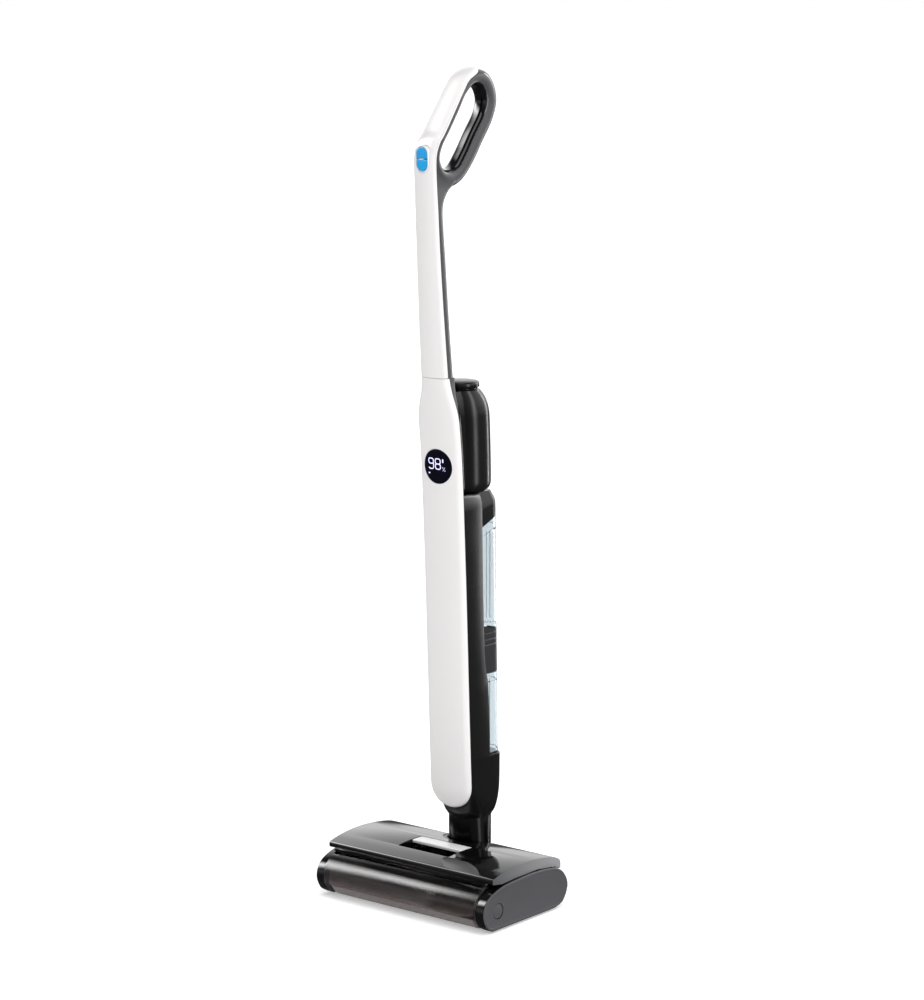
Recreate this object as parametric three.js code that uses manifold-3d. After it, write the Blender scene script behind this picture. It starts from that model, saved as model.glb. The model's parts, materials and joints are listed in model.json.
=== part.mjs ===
// Cordless wet and dry floor scrubber: a stick body with two water tanks, a swivel neck and a
// powered roller head. Millimetres, +Z up, +X to the right seen from the front, front towards -Y.
import * as THREE from 'three';
import * as BufferGeometryUtils from 'three/addons/utils/BufferGeometryUtils.js';
import Module from 'manifold-3d';

const wasm = await Module();
wasm.setup();

// ---- Driving dimensions (mm) ----------------------------------------------------------------
const CENTRE_Y = 9.55; // middle of the whole object's depth, from the middle of the head
const GAP = 0.3; // clearance between separate pieces
const WALL = 2.4; // wall of the moulded shells

const HEAD_HALF = 145; // half of the head's width
const CAP_THICK = 15; // thickness of each end cap
const LID_HALF = 141; // half-width of the head's lid
const BASE_HALF = HEAD_HALF - CAP_THICK - GAP;
const FLOOR_TOP = 6; // top of the base's floor plate
const FLOOR_UNDER = 3; // ground clearance of the floor plate

const ROLLER = { y: -58, z: 28, radius: 28, core: 17, half: 122 };
const COVER_RADIUS = 31.6; // outside of the clear roller cover, about the roller's axis
const COVER_WALL = 1.6;
const PULLEY_X = -133.5; // middle plane of the belt drive, in the left end cap
const BELT_WIDTH = 5;
const MOTOR = { y: -4, z: 38, radius: 17 }; // roller motor
const PULLEY_RATIO = 2; // roller pulley pitch radius over motor pulley pitch radius
const MOTOR_PULLEY_RADIUS = 7;

const WHEEL = { x: 95, y: 71, z: 11, radius: 11, width: 9, axle: 2 };
const RECESS = { x: 44, front: -36, back: 14, floor: 64 }; // finger recess in the lid
const BUTTON_RADIUS = 10.3; // roller release button

const NECK = { y: 62.5, hinge: 40, radius: 28.5, top: 107.5, barrel: 21, barrelHalf: 28.5 };
const NOTCH = 31; // half-width of the slot in the head that the neck tilts back through
const BEZEL_RADIUS = 39.5; // trim round that slot
const CHEEK = { inner: 33, outer: 37 }; // plates of the base that hold the hinge pins

const BODY_BOTTOM = NECK.top + GAP;
const BAY_BOTTOM = 192; // where the tank bay starts
const BAY_TOP = 550; // where it ends
const BULKHEAD_Y = 42; // wall between the electronics and the tanks
const BODY_HALF = 33.4;
const TANK_HALF = 30.2;
const TANK_SPLIT = { lower: 304, middle: 370.7, upper: 503 };
const PIPE = { y: 64, radius: 9, bottom: 216 }; // standpipe in the dirty water tank
const POD = { top: 686, lidTop: 699, lidY: 42, lidRadius: 25, motorY: 50 };
const COVER_DEPTH = 11; // depth of the body's white front cover, at its middle
const HANDLE_COVER_DEPTH = 8.5; // and of the handle's
const CROWN = 4; // how far the covers' faces bulge forward between their edges
const COVER_BOTTOM = 124;
const COVER_TOP = 706; // seam between the body's and the handle's front covers

const DISPLAY = { z: 589, radius: 23 };
const LOOP = { y: 15.8, z: 995, lean: 36.7, length: 82.3, front: 43.5, back: 43.8 };
const SOCKET = { radius: 4.2, x: 0, z: 158, face: 95.6 }; // charging inlet at the back
const KEYPAD = { z: 989, halfWidth: 8.8, halfHeight: 15.5, tilt: 2.5 };

// Outlines of the stick against height, as [z, value] pairs.
const FRONT_FACE = [
  [COVER_BOTTOM, 15.2], [182, 12.5], [DISPLAY.z, -5.4], [COVER_TOP, -17.5],
  [858, -29], [935, -33.2], [1000, -35.6],
];
const HALF_WIDTH = [
  [COVER_BOTTOM, 33.4], [645, 32.8], [660, 31.4], [674, 28], [688, 24.2],
  [COVER_TOP, 21.4], [858, 18.6], [1000, 17.6],
];
const BODY_BACK = [[BODY_BOTTOM, 97.3], [700, 86.4]];
// Rear edge of the tank bay's side walls, and how far their tops draw in below the pod.
const BAY_WALL = [[BAY_BOTTOM, 65], [300, 60], [308, 56], [366, 51.5], [500, 48], [BAY_TOP, 47]];
const SHOULDER = [[529, 0], [537, 0.7], [543, 2.1], [547, 3.9], [BAY_TOP, 6.4]];
const TUBE_BACK = [
  [COVER_TOP, 8.2], [779, 2.4], [858, -3.4], [915, -7], [932, -1],
  [945, 11], [956, 20], [966, 14], [976, -1], [990, -12],
];

// ---- Solids ---------------------------------------------------------------------------------
const rad = THREE.MathUtils.degToRad;
const X = new THREE.Vector3(1, 0, 0);
const Y = new THREE.Vector3(0, 1, 0);
const Z = new THREE.Vector3(0, 0, 1);

function closed(geometry) {
  const bare = geometry.index ? geometry.toNonIndexed() : geometry.clone();
  bare.deleteAttribute('normal');
  bare.deleteAttribute('uv');
  return BufferGeometryUtils.mergeVertices(bare, 1e-4);
}

function solid(geometry) {
  const merged = closed(geometry);
  const vertProperties = new Float32Array(merged.attributes.position.array);
  const triVerts = new Uint32Array(merged.index.array);
  return new wasm.Manifold(new wasm.Mesh({ numProp: 3, vertProperties, triVerts }));
}

function surface(shape) {
  const { vertProperties, triVerts } = shape.getMesh();
  const geometry = new THREE.BufferGeometry();
  geometry.setAttribute('position', new THREE.BufferAttribute(vertProperties, 3));
  geometry.setIndex(new THREE.BufferAttribute(triVerts, 1));
  return geometry;
}

function cut(body, ...tools) {
  return surface(tools.reduce((rest, tool) => rest.subtract(solid(tool)), solid(body)));
}

function join(first, ...others) {
  return surface(others.reduce((sum, other) => sum.add(solid(other)), solid(first)));
}

function common(first, second) {
  return surface(solid(first).intersect(solid(second)));
}

function at(geometry, x, y, z) {
  return geometry.clone().translate(x, y, z);
}

function box(x0, x1, y0, y1, z0, z1) {
  return at(new THREE.BoxGeometry(x1 - x0, y1 - y0, z1 - z0), (x0 + x1) / 2, (y0 + y1) / 2, (z0 + z1) / 2);
}

// A cylinder whose axis runs along x, y or z, from one coordinate to another.
function rod(axis, radius, from, to, a, b, sides = 24) {
  const geometry = new THREE.CylinderGeometry(radius, radius, to - from, sides);
  const middle = (from + to) / 2;
  if (axis === 'x') return at(geometry.rotateZ(rad(90)), middle, a, b);
  if (axis === 'z') return at(geometry.rotateX(rad(90)), a, b, middle);
  return at(geometry, a, middle, b);
}

function ringRod(axis, outer, inner, from, to, a, b, sides = 24) {
  return cut(rod(axis, outer, from, to, a, b, sides), rod(axis, inner, from - 1, to + 1, a, b, sides));
}

// Profile of [radius, height] pairs turned about an upright axis through (x, y).
function turned(profile, x, y, sides = 28) {
  const points = profile.map(([radius, height]) => new THREE.Vector2(radius, height));
  return at(new THREE.LatheGeometry(points, sides).rotateX(rad(90)), x, y, 0);
}

// A shape drawn in (y, z), pulled along X.
function acrossX(shape, x0, x1, bevel = 0, curveSegments = 8) {
  const bevelling = { bevelThickness: bevel, bevelSize: bevel, bevelOffset: -bevel, bevelSegments: 2 };
  const depth = x1 - x0 - 2 * bevel;
  const options = { depth, curveSegments, bevelEnabled: bevel > 0, ...bevelling };
  const geometry = new THREE.ExtrudeGeometry(shape, options);
  geometry.applyMatrix4(new THREE.Matrix4().makeBasis(Y, Z, X));
  return at(geometry, x0 + bevel, 0, 0);
}

// A shape drawn in (x, z), pulled along Y.
function acrossY(shape, y0, y1, curveSegments = 8) {
  const options = { depth: y1 - y0, curveSegments, bevelEnabled: false };
  const geometry = new THREE.ExtrudeGeometry(shape, options);
  geometry.applyMatrix4(new THREE.Matrix4().makeBasis(X, Z, Y.clone().negate()));
  return at(geometry, 0, y1, 0);
}

// A shape drawn in (x, y), pulled along Z.
function upright(shape, z0, z1, curveSegments = 8) {
  const options = { depth: z1 - z0, curveSegments, bevelEnabled: false };
  return at(new THREE.ExtrudeGeometry(shape, options), 0, 0, z0);
}

function outline(...points) {
  return new THREE.Shape(points.map(([u, v]) => new THREE.Vector2(u, v)));
}

function disc(u, v, radius) {
  const shape = new THREE.Shape();
  shape.absarc(u, v, radius, 0, 2 * Math.PI, false);
  return shape;
}

function pill(u, v, halfWidth, halfHeight) {
  const shape = new THREE.Shape();
  const straight = halfHeight - halfWidth;
  shape.absarc(u, v + straight, halfWidth, 0, Math.PI, false);
  shape.absarc(u, v - straight, halfWidth, Math.PI, 2 * Math.PI, false);
  shape.closePath();
  return shape;
}

// Value at z on a line through [z, value] pairs.
function along(pairs, z) {
  const last = pairs.length - 1;
  const next = Math.min(Math.max(pairs.findIndex(([height]) => height >= z), 1), last);
  const index = z > pairs[last][0] ? last : next;
  const [z0, v0] = pairs[index - 1];
  const [z1, v1] = pairs[index];
  return v0 + ((v1 - v0) * (z - z0)) / (z1 - z0);
}

// A rounded section in (x, y), counter-clockwise, with its own corner radii in front and behind
// and a front edge that bulges forward by its crown.
function section(halfWidth, front, back, frontRadius, backRadius, steps = 4, crown = 0) {
  const shoulder = front + crown + frontRadius;
  const corners = [
    [halfWidth - backRadius, back - backRadius, backRadius, 0],
    [backRadius - halfWidth, back - backRadius, backRadius, 90],
    [frontRadius - halfWidth, shoulder, frontRadius, 180],
    [halfWidth - frontRadius, shoulder, frontRadius, 270],
  ];
  const points = [];
  for (const [x, y, radius, start] of corners) {
    if (crown && start === 270) {
      for (const across of [-0.6, -0.3, 0, 0.3, 0.6]) {
        points.push([across * halfWidth, front + crown * across * across * 1.6]);
      }
    }
    for (let step = 0; step <= steps; step += 1) {
      const angle = rad(start + (90 * step) / steps);
      points.push([x + radius * Math.cos(angle), y + radius * Math.sin(angle)]);
    }
  }
  return points;
}

function level(points, z) {
  return points.map(([x, y]) => new THREE.Vector3(x, y, z));
}

// A closed skin over rings of equally many points, with flat ends or joined into a loop.
function loft(rings, looped = false) {
  const count = rings[0].length;
  const positions = rings.flat().flatMap((point) => point.toArray());
  const index = [];
  const bands = looped ? rings.length : rings.length - 1;
  for (let ring = 0; ring < bands; ring += 1) {
    const next = ((ring + 1) % rings.length) * count;
    for (let point = 0; point < count; point += 1) {
      const beside = (point + 1) % count;
      index.push(ring * count + point, ring * count + beside, next + beside);
      index.push(ring * count + point, next + beside, next + point);
    }
  }
  const lastRing = (rings.length - 1) * count;
  const ends = looped ? [] : [[rings[0], 0, true], [rings[rings.length - 1], lastRing, false]];
  for (const [ring, offset, flip] of ends) {
    const centre = ring.reduce((sum, point) => sum.add(point), new THREE.Vector3()).divideScalar(count);
    const hub = positions.length / 3;
    positions.push(...centre.toArray());
    for (let point = 0; point < count; point += 1) {
      const pair = [offset + point, offset + ((point + 1) % count)];
      index.push(hub, ...(flip ? pair.reverse() : pair));
    }
  }
  const geometry = new THREE.BufferGeometry();
  geometry.setAttribute('position', new THREE.Float32BufferAttribute(positions, 3));
  geometry.setIndex(index);
  return geometry;
}

function tube(points, radius, steps, sides = 10) {
  const path = new THREE.CatmullRomCurve3(points.map((point) => new THREE.Vector3(...point)));
  return new THREE.ExtrudeGeometry(disc(0, 0, radius), {
    steps,
    curveSegments: sides,
    extrudePath: path,
  });
}

// ---- Materials ------------------------------------------------------------------------------
function material(color, roughness, metalness = 0) {
  return new THREE.MeshStandardMaterial({ color, roughness, metalness });
}

const white = material('#ecebea', 0.25);
const satinBlack = material('#1b1b1d', 0.4);
const glossBlack = material('#0b0b0c', 0.08);
const darkGrey = material('#55555a', 0.5);
const gripGrey = material('#3a3b3f', 0.45);
const smoky = material('#4d4544', 0.1);
const clear = material('#cfe0e6', 0.08);
const blue = material('#2a9df0', 0.3);
const fibre = material('#6c6463', 0.95);
const rubber = material('#161616', 0.85);
const steel = material('#b9bcc0', 0.35, 1);
const brass = material('#b9975b', 0.35, 1);
const boardGreen = material('#1d5b3a', 0.6);
const cellBlue = material('#2c5f86', 0.45);
const liner = material('#d8d8d4', 0.55);
const filterWhite = material('#e4e2da', 0.9);

const scrubber = new THREE.Group();
scrubber.position.y = -CENTRE_Y;

function add(name, geometry, finish) {
  const mesh = new THREE.Mesh(geometry, finish);
  mesh.name = name;
  scrubber.add(mesh);
}

// ---- Head: base, caps, lid --------------------------------------------------------------------
function capOutline(inset = 0) {
  const shape = new THREE.Shape();
  const low = 2.4 + inset;
  shape.moveTo(-68 + inset / 2, low);
  shape.lineTo(64 - inset / 2, low);
  const rear = [[82, 9], [91.7, 28], [84.5, 45.5], [66.8, 56.8], [28.7, 61.8]];
  const front = [[-16, 61.2], [-54, 57.4], [-80, 46], [-87.9, 28], [-81, 11]];
  const centre = new THREE.Vector2(2, 30);
  const points = [...rear, ...front].map(([y, z]) => {
    const point = new THREE.Vector2(y, z);
    return point.addScaledVector(centre.clone().sub(point).normalize(), inset);
  });
  shape.splineThru([...points, new THREE.Vector2(-68 + inset / 2, low)]);
  return shape;
}

function endCap(side) {
  const inner = side * (HEAD_HALF - CAP_THICK);
  const outer = side * HEAD_HALF;
  const plate = acrossX(capOutline(), Math.min(inner, outer), Math.max(inner, outer), 1.6, 3);
  const floor = outer - side * WALL;
  const mouth = inner - side;
  const pocket = acrossX(capOutline(3), Math.min(floor, mouth), Math.max(floor, mouth), 0, 2);
  return [plate, pocket];
}

const [leftPlate, leftPocket] = endCap(-1);
add('left_end_cap', cut(leftPlate, leftPocket), darkGrey);

const [rightPlate, rightPocket] = endCap(1);
const buttonHole = rod('x', BUTTON_RADIUS + GAP, HEAD_HALF - 5, HEAD_HALF + 1, ROLLER.y, ROLLER.z);
add('right_end_cap', cut(rightPlate, rightPocket, buttonHole), darkGrey);

const buttonStem = rod('x', 4, HEAD_HALF - 9, HEAD_HALF - 2, ROLLER.y, ROLLER.z, 16);
const buttonFace = rod('x', BUTTON_RADIUS, HEAD_HALF - 3, HEAD_HALF - 0.4, ROLLER.y, ROLLER.z, 28);
add('roller_release_button', join(buttonFace, buttonStem), darkGrey);

// The base is a hollow tray: a floor, a curved wall behind the roller, a rear wall and two ends.
function baseOutline(inset) {
  const shape = new THREE.Shape();
  const chamber = ROLLER.radius + 3.5;
  const low = inset ? FLOOR_TOP : FLOOR_UNDER;
  const start = Math.asin((ROLLER.z - low) / (chamber + inset));
  shape.absarc(ROLLER.y, ROLLER.z, chamber + inset, rad(60), -start, true);
  shape.lineTo(66 - inset, low);
  shape.quadraticCurveTo(88 - inset, 8 + inset, 87 - inset, 30);
  shape.lineTo(83 - inset, 47);
  shape.lineTo(63, 53.5);
  shape.lineTo(-40, 58.2);
  shape.closePath();
  return shape;
}

function headBase() {
  const shell = acrossX(baseOutline(0), -BASE_HALF, BASE_HALF, 0, 6);
  const hollow = acrossX(baseOutline(WALL), -BASE_HALF + 3, BASE_HALF - 3, 0, 6);
  const open = box(-BASE_HALF + 3, BASE_HALF - 3, -28, 78, 48, 70);
  const notch = box(-NOTCH, NOTCH, NECK.y - NOTCH, 100, 11, 70);
  const foot = FLOOR_TOP - 1;
  const cheekShape = outline([36, foot], [84, foot], [84, 34], [74, 50], [50, 50], [36, 34]);
  const cheeks = [-1, 1].map((side) => {
    const edges = [side * CHEEK.inner, side * CHEEK.outer].sort((a, b) => a - b);
    return acrossX(cheekShape, ...edges);
  });
  const forks = [-1, 1].map((side) => {
    const x = side * WHEEL.x;
    return box(x - 9, x + 9, WHEEL.y - 14, WHEEL.y + 12, FLOOR_UNDER + 0.5, 25);
  });
  const slots = [-1, 1].map((side) => {
    const x = side * WHEEL.x;
    const half = WHEEL.width / 2 + 0.6;
    return box(x - half, x + half, WHEEL.y - 12.6, WHEEL.y + 12.6, -1, 23);
  });
  const axleHoles = [-1, 1].map((side) => {
    const x = side * WHEEL.x;
    return rod('x', WHEEL.axle + GAP, x - 8, x + 8, WHEEL.y, WHEEL.z, 16);
  });
  const pinHole = rod('x', 4 + GAP, -CHEEK.outer - 1, CHEEK.outer + 1, NECK.y, NECK.hinge, 20);
  const shaftHole = rod('x', 4, -BASE_HALF - 1, -BASE_HALF + 5, MOTOR.y, MOTOR.z, 16);
  const skid = box(-40, 40, 8, 34, 0, FLOOR_UNDER + 1);
  const mouth = box(-38, 38, -12, 2, -1, FLOOR_TOP + 1);
  const bladeSlot = box(-120, 120, -23.4, -19.6, -1, FLOOR_TOP + 1);
  const tray = cut(shell, hollow, open);
  const fitted = join(tray, ...cheeks, ...forks, skid);
  return cut(fitted, notch, ...slots, ...axleHoles, pinHole, shaftHole, mouth, bladeSlot);
}
add('head_base', headBase(), satinBlack);

const lidTop = [[-64.2, 63.6], [-64.6, 69.2], [-62, 71.2], [-43, 75.4], [-19, 78.2], [5, 78.8], [30, 77.2]];
const lidRear = [[55, 73.8], [70, 69.8], [77, 66], [79, 61], [79.4, 54]];
function lidOutline(drop) {
  const top = [...lidTop, ...lidRear].map(([y, z]) => [y, z - drop]);
  const under = drop ? [[79, 20], [-62, 20]] : [[75, 54], [67, 58.6], [29, 63], [-16, 62.4], [-46, 60.6]];
  return outline(...[...top, ...under].reverse());
}

function headLid() {
  const shell = acrossX(lidOutline(0), -LID_HALF, LID_HALF);
  const inside = acrossX(lidOutline(WALL), -LID_HALF + 3, LID_HALF - 3);
  const keepEdges = box(-LID_HALF + 3, LID_HALF - 3, -61.5, 76.6, 30, 90);
  const hollow = common(inside, keepEdges);
  const pocket = box(-RECESS.x - 2, RECESS.x + 2, RECESS.front - 2, RECESS.back + 2, RECESS.floor - 2, 75);
  const opening = box(-RECESS.x, RECESS.x, RECESS.front, RECESS.back, RECESS.floor, 90);
  const slot = new THREE.Shape();
  const radius = BEZEL_RADIUS - 3;
  slot.absarc(0, NECK.y, radius, Math.PI, 2 * Math.PI, false);
  slot.lineTo(radius, 100);
  slot.lineTo(-radius, 100);
  slot.closePath();
  const walled = join(cut(shell, hollow), pocket);
  return cut(walled, opening, upright(slot, 30, 90));
}
add('head_lid', headLid(), glossBlack);

function neckBezel() {
  const shape = new THREE.Shape();
  const outer = BEZEL_RADIUS - 3 - GAP;
  shape.absarc(0, NECK.y, outer, Math.PI, 2 * Math.PI, false);
  shape.lineTo(outer, 76);
  shape.lineTo(NOTCH, 76);
  shape.lineTo(NOTCH, NECK.y);
  shape.absarc(0, NECK.y, NOTCH, 2 * Math.PI, Math.PI, true);
  shape.lineTo(-NOTCH, 76);
  shape.lineTo(-outer, 76);
  shape.closePath();
  const top = acrossX(lidOutline(0.6), -60, 60);
  return common(upright(shape, 61.5, 90, 10), top);
}
add('neck_bezel', neckBezel(), satinBlack);

// ---- Head: roller, its cover and latch ----------------------------------------------------------
function rollerRing(outer, inner, from, to, sides) {
  return ringRod('x', outer, inner, from, to, ROLLER.y, ROLLER.z, sides);
}
const sleeve = rollerRing(ROLLER.radius, ROLLER.core + GAP, -ROLLER.half, ROLLER.half, 36);
add('roller_sleeve', sleeve, fibre);
const coreTube = rod('x', ROLLER.core, -ROLLER.half - 2, ROLLER.half + 2, ROLLER.y, ROLLER.z, 28);
const coreBore = rod('x', ROLLER.core - 3, -ROLLER.half + 8, ROLLER.half + 3, ROLLER.y, ROLLER.z, 28);
const coreShaft = rod('x', 5, -ROLLER.half - 6, -ROLLER.half, ROLLER.y, ROLLER.z, 16);
add('roller_core', join(cut(coreTube, coreBore), coreShaft), liner);
const endPlug = rollerRing(ROLLER.core - 3 - GAP, 5, ROLLER.half - 6, ROLLER.half + 1, 24);
add('roller_end_plug', endPlug, satinBlack);
const pivotPin = rod('x', 4.6, ROLLER.half - 8, BASE_HALF + 1.6, ROLLER.y, ROLLER.z, 16);
add('roller_pivot_pin', pivotPin, steel);

function rollerCover() {
  const shape = new THREE.Shape();
  const inner = COVER_RADIUS - COVER_WALL;
  const from = rad(180 + 15.6);
  const to = rad(90);
  shape.absarc(ROLLER.y, ROLLER.z, inner, to, from, false);
  shape.absarc(ROLLER.y, ROLLER.z, COVER_RADIUS, from, rad(102), true);
  shape.lineTo(-66.8, 60.4);
  shape.lineTo(-66.8, 63.2);
  shape.lineTo(-60.4, 62);
  shape.lineTo(-60.4, 59.3);
  shape.lineTo(ROLLER.y, ROLLER.z + COVER_RADIUS - 0.4);
  shape.closePath();
  return acrossX(shape, -BASE_HALF, BASE_HALF, 0, 14);
}
add('roller_cover', rollerCover(), smoky);

function coverLatch() {
  const bar = box(-RECESS.x + 0.5, RECESS.x - 0.5, -7, RECESS.back - 0.5, 74, 78.4);
  const hook = box(-14, 14, -4, 2, RECESS.floor + 1, 74.5);
  return join(bar, hook);
}
add('cover_latch', coverLatch(), white);

// ---- Head: belt drive, water and air parts ------------------------------------------------------
const rollerPulleyRadius = MOTOR_PULLEY_RADIUS * PULLEY_RATIO;
function pulley(radius, y, z) {
  const half = BELT_WIDTH / 2;
  const body = rod('x', radius - 1.5, PULLEY_X - half, PULLEY_X + half, y, z, 20);
  const flanges = [-1, 1].map((side) => {
    const x = PULLEY_X + side * (half + 0.6);
    return rod('x', radius + 1, x - 0.6, x + 0.6, y, z, 20);
  });
  return join(body, ...flanges);
}
const driveShaft = rod('x', 5, PULLEY_X - 4, -ROLLER.half - 6 - GAP, ROLLER.y, ROLLER.z, 16);
add('roller_pulley', join(pulley(rollerPulleyRadius, ROLLER.y, ROLLER.z), driveShaft), darkGrey);
const motorShaft = rod('x', 2.5, PULLEY_X - 4, -118 - GAP, MOTOR.y, MOTOR.z, 16);
add('motor_pulley', join(pulley(MOTOR_PULLEY_RADIUS, MOTOR.y, MOTOR.z), motorShaft), brass);

function beltLoop(extra) {
  const from = new THREE.Vector2(ROLLER.y, ROLLER.z);
  const to = new THREE.Vector2(MOTOR.y, MOTOR.z);
  const heading = to.clone().sub(from).angle();
  const spread = Math.acos((rollerPulleyRadius - MOTOR_PULLEY_RADIUS) / from.distanceTo(to));
  const shape = new THREE.Shape();
  shape.absarc(from.x, from.y, rollerPulleyRadius + extra, heading + spread, heading - spread, false);
  shape.absarc(to.x, to.y, MOTOR_PULLEY_RADIUS + extra, heading - spread, heading + spread, false);
  shape.closePath();
  return shape;
}
const beltHalf = BELT_WIDTH / 2 - GAP;
const beltOutside = acrossX(beltLoop(0.6), PULLEY_X - beltHalf, PULLEY_X + beltHalf);
const beltInside = acrossX(beltLoop(-1), PULLEY_X - 6, PULLEY_X + 6);
add('drive_belt', cut(beltOutside, beltInside), rubber);

const motorCan = rod('x', MOTOR.radius, -118, -62, MOTOR.y, MOTOR.z, 28);
const motorCap = rod('x', MOTOR.radius - 4, -62.5, -56, MOTOR.y, MOTOR.z, 28);
add('roller_motor', join(motorCan, motorCap), steel);

function squeegee() {
  const blade = box(-119, 119, -22.9, -20.1, 0.4, 9);
  return join(blade, box(-119, 119, -25 + GAP, -18.5, FLOOR_TOP + GAP, 10.5));
}
const rollerChamber = acrossX(disc(ROLLER.y, ROLLER.z, 34.4), -125, 125, 0, 16);
add('rear_squeegee', cut(squeegee(), rollerChamber), rubber);

function suctionDuct() {
  const outer = [
    level(section(40, -14, 4, 4, 4), FLOOR_TOP + GAP),
    level(section(36, -12, 8, 6, 6), 18),
    level(section(16, 6, 34, 12, 12), 36),
    level(section(14, 12, 38, 12, 12), 47),
  ];
  const inner = [
    level(section(38, -12, 2, 3, 3), FLOOR_TOP - 1),
    level(section(34, -10, 6, 4, 4), 18),
    level(section(14, 8, 32, 10, 10), 36),
    level(section(12, 14, 36, 10, 10), 48),
  ];
  return cut(loft(outer), loft(inner));
}
add('suction_duct', suctionDuct(), satinBlack);

const sprayRail = box(-110, 110, -24, -17, 50.5, 54.5);
const sprayNozzles = [-90, -45, 0, 45, 90].map((x) => box(x - 2, x + 2, -27.4, -23.5, 51, 54));
add('spray_bar', join(sprayRail, ...sprayNozzles), darkGrey);

for (const [side, sign] of [['left', -1], ['right', 1]]) {
  const x = sign * WHEEL.x;
  const half = WHEEL.width / 2;
  const tread = rod('x', WHEEL.radius, x - half, x + half, WHEEL.y, WHEEL.z, 28);
  const bore = rod('x', WHEEL.axle + GAP, x - half - 1, x + half + 1, WHEEL.y, WHEEL.z, 16);
  add(`${side}_rear_wheel`, cut(tread, bore), rubber);
  add(`${side}_wheel_axle`, rod('x', WHEEL.axle, x - 7.5, x + 7.5, WHEEL.y, WHEEL.z, 16), steel);
  const pinFrom = sign * (NECK.barrelHalf - 8);
  const pinTo = sign * (CHEEK.outer + 1);
  const pin = rod('x', 4, Math.min(pinFrom, pinTo), Math.max(pinFrom, pinTo), NECK.y, NECK.hinge, 20);
  add(`${side}_hinge_pin`, pin, steel);
}

// ---- Neck ---------------------------------------------------------------------------------------
function neckYoke() {
  const barrel = rod('x', NECK.barrel, -NECK.barrelHalf, NECK.barrelHalf, NECK.y, NECK.hinge, 24);
  const sleeveTube = rod('z', NECK.radius, NECK.hinge + 10, NECK.top, 0, NECK.y, 28);
  const bore = rod('z', 24, 70, NECK.top + 1, 0, NECK.y, 24);
  const airWay = rod('z', 12, 42, 80, 0, NECK.y, 24);
  const airMouth = rod('y', 12, NECK.y - 30, NECK.y, 0, NECK.hinge + 3, 24);
  const pinBores = [-1, 1].map((side) => {
    const ends = [side * (NECK.barrelHalf - 9), side * (NECK.barrelHalf + 1)].sort((a, b) => a - b);
    return rod('x', 4 + GAP, ...ends, NECK.y, NECK.hinge, 20);
  });
  return cut(join(barrel, sleeveTube), bore, airWay, airMouth, ...pinBores);
}
add('neck_yoke', neckYoke(), satinBlack);
add('swivel_ring', ringRod('z', 23.7, 21.5, 96, NECK.top, 0, NECK.y, 32), liner);
add('suction_hose', ringRod('z', 13, 11, 71, 96, 0, NECK.y, 24), rubber);
const waterPath = [[-18, NECK.y, 71], [-18.5, NECK.y + 2, 83], [-18, NECK.y, 96]];
add('water_tube', tube(waterPath, 2.2, 6, 4), clear);

// ---- Stick: lower housing, main housing, tanks ---------------------------------------------------
const coverEdge = (z) => along(FRONT_FACE, z) + COVER_DEPTH;

function lowerHousing() {
  const round = (radius) => section(radius, NECK.y - radius, NECK.y + radius, radius, radius);
  const rings = (inset) => [
    level(round(NECK.radius - inset), BODY_BOTTOM),
    level(section(32 - inset, 29.5 + inset, 94 - inset, 28 - inset, 26 - inset), 117),
    level(section(33 - inset, 26.8 + inset, 95.8 - inset, 22 - inset, 22 - inset), 130),
    level(section(BODY_HALF - inset, coverEdge(150) + inset, 96.6 - inset, 8, 19), 150),
    level(section(BODY_HALF - inset, coverEdge(178) + inset, 95.8 - inset, 4, 17), BAY_BOTTOM - GAP),
  ];
  const inner = rings(WALL + 0.6);
  inner[0] = inner[0].map((point) => point.clone().setZ(BODY_BOTTOM + 3));
  inner[4] = inner[4].map((point) => point.clone().setZ(BAY_BOTTOM - 4));
  const spigot = rod('z', 21.2, 98, BODY_BOTTOM + 2, 0, NECK.y, 32);
  const bore = rod('z', 11, 90, BODY_BOTTOM + 8, 0, NECK.y, 24);
  const hollow = loft(inner);
  const socketHole = rod('y', SOCKET.radius + GAP, 85, 100, SOCKET.x, SOCKET.z, 20);
  return cut(join(cut(loft(rings(0)), hollow), spigot), bore, coverSeat(), socketHole);
}

// The white cover: a tray with round lower end, open behind. Its outside grown by some margin.
function coverFace(margin, depth) {
  const heights = [COVER_BOTTOM - 6, 182, 380, DISPLAY.z, 645, 660, 674, 688, COVER_TOP];
  return loft(heights.map((z) => {
    const front = along(FRONT_FACE, z) - margin;
    const half = along(HALF_WIDTH, z) + margin;
    return level(section(half, front, front + depth + margin, 5.5, 0.2, 3, CROWN), z);
  }));
}

function roundedEnd(margin) {
  const radius = BODY_HALF + margin;
  const shape = new THREE.Shape();
  const centre = COVER_BOTTOM + BODY_HALF;
  shape.absarc(0, centre, radius, Math.PI, 2 * Math.PI, false);
  shape.lineTo(radius, COVER_TOP - GAP / 2);
  shape.lineTo(-radius, COVER_TOP - GAP / 2);
  shape.closePath();
  return acrossY(shape, -60, 80, 12);
}

function frontCoverSolid(margin, depth) {
  return common(coverFace(margin, depth), roundedEnd(margin));
}

function coverSeat() {
  const rear = coverEdge(COVER_BOTTOM) + GAP;
  const upperRear = coverEdge(400) + GAP;
  const slab = outline([-200, 0], [rear + 3, 60], [rear, COVER_BOTTOM], [upperRear, 400], [-200, 400]);
  return common(acrossX(slab, -60, 60), frontCoverSolid(GAP, 60));
}
add('lower_housing', lowerHousing(), satinBlack);

function frontCover() {
  const outside = frontCoverSolid(0, COVER_DEPTH);
  const inside = frontCoverSolid(-WALL, COVER_DEPTH + 10);
  const lensHole = rod('y', DISPLAY.radius + GAP, -40, 40, 0, DISPLAY.z, 36);
  return cut(outside, inside, lensHole);
}
add('front_cover', frontCover(), white);

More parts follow.
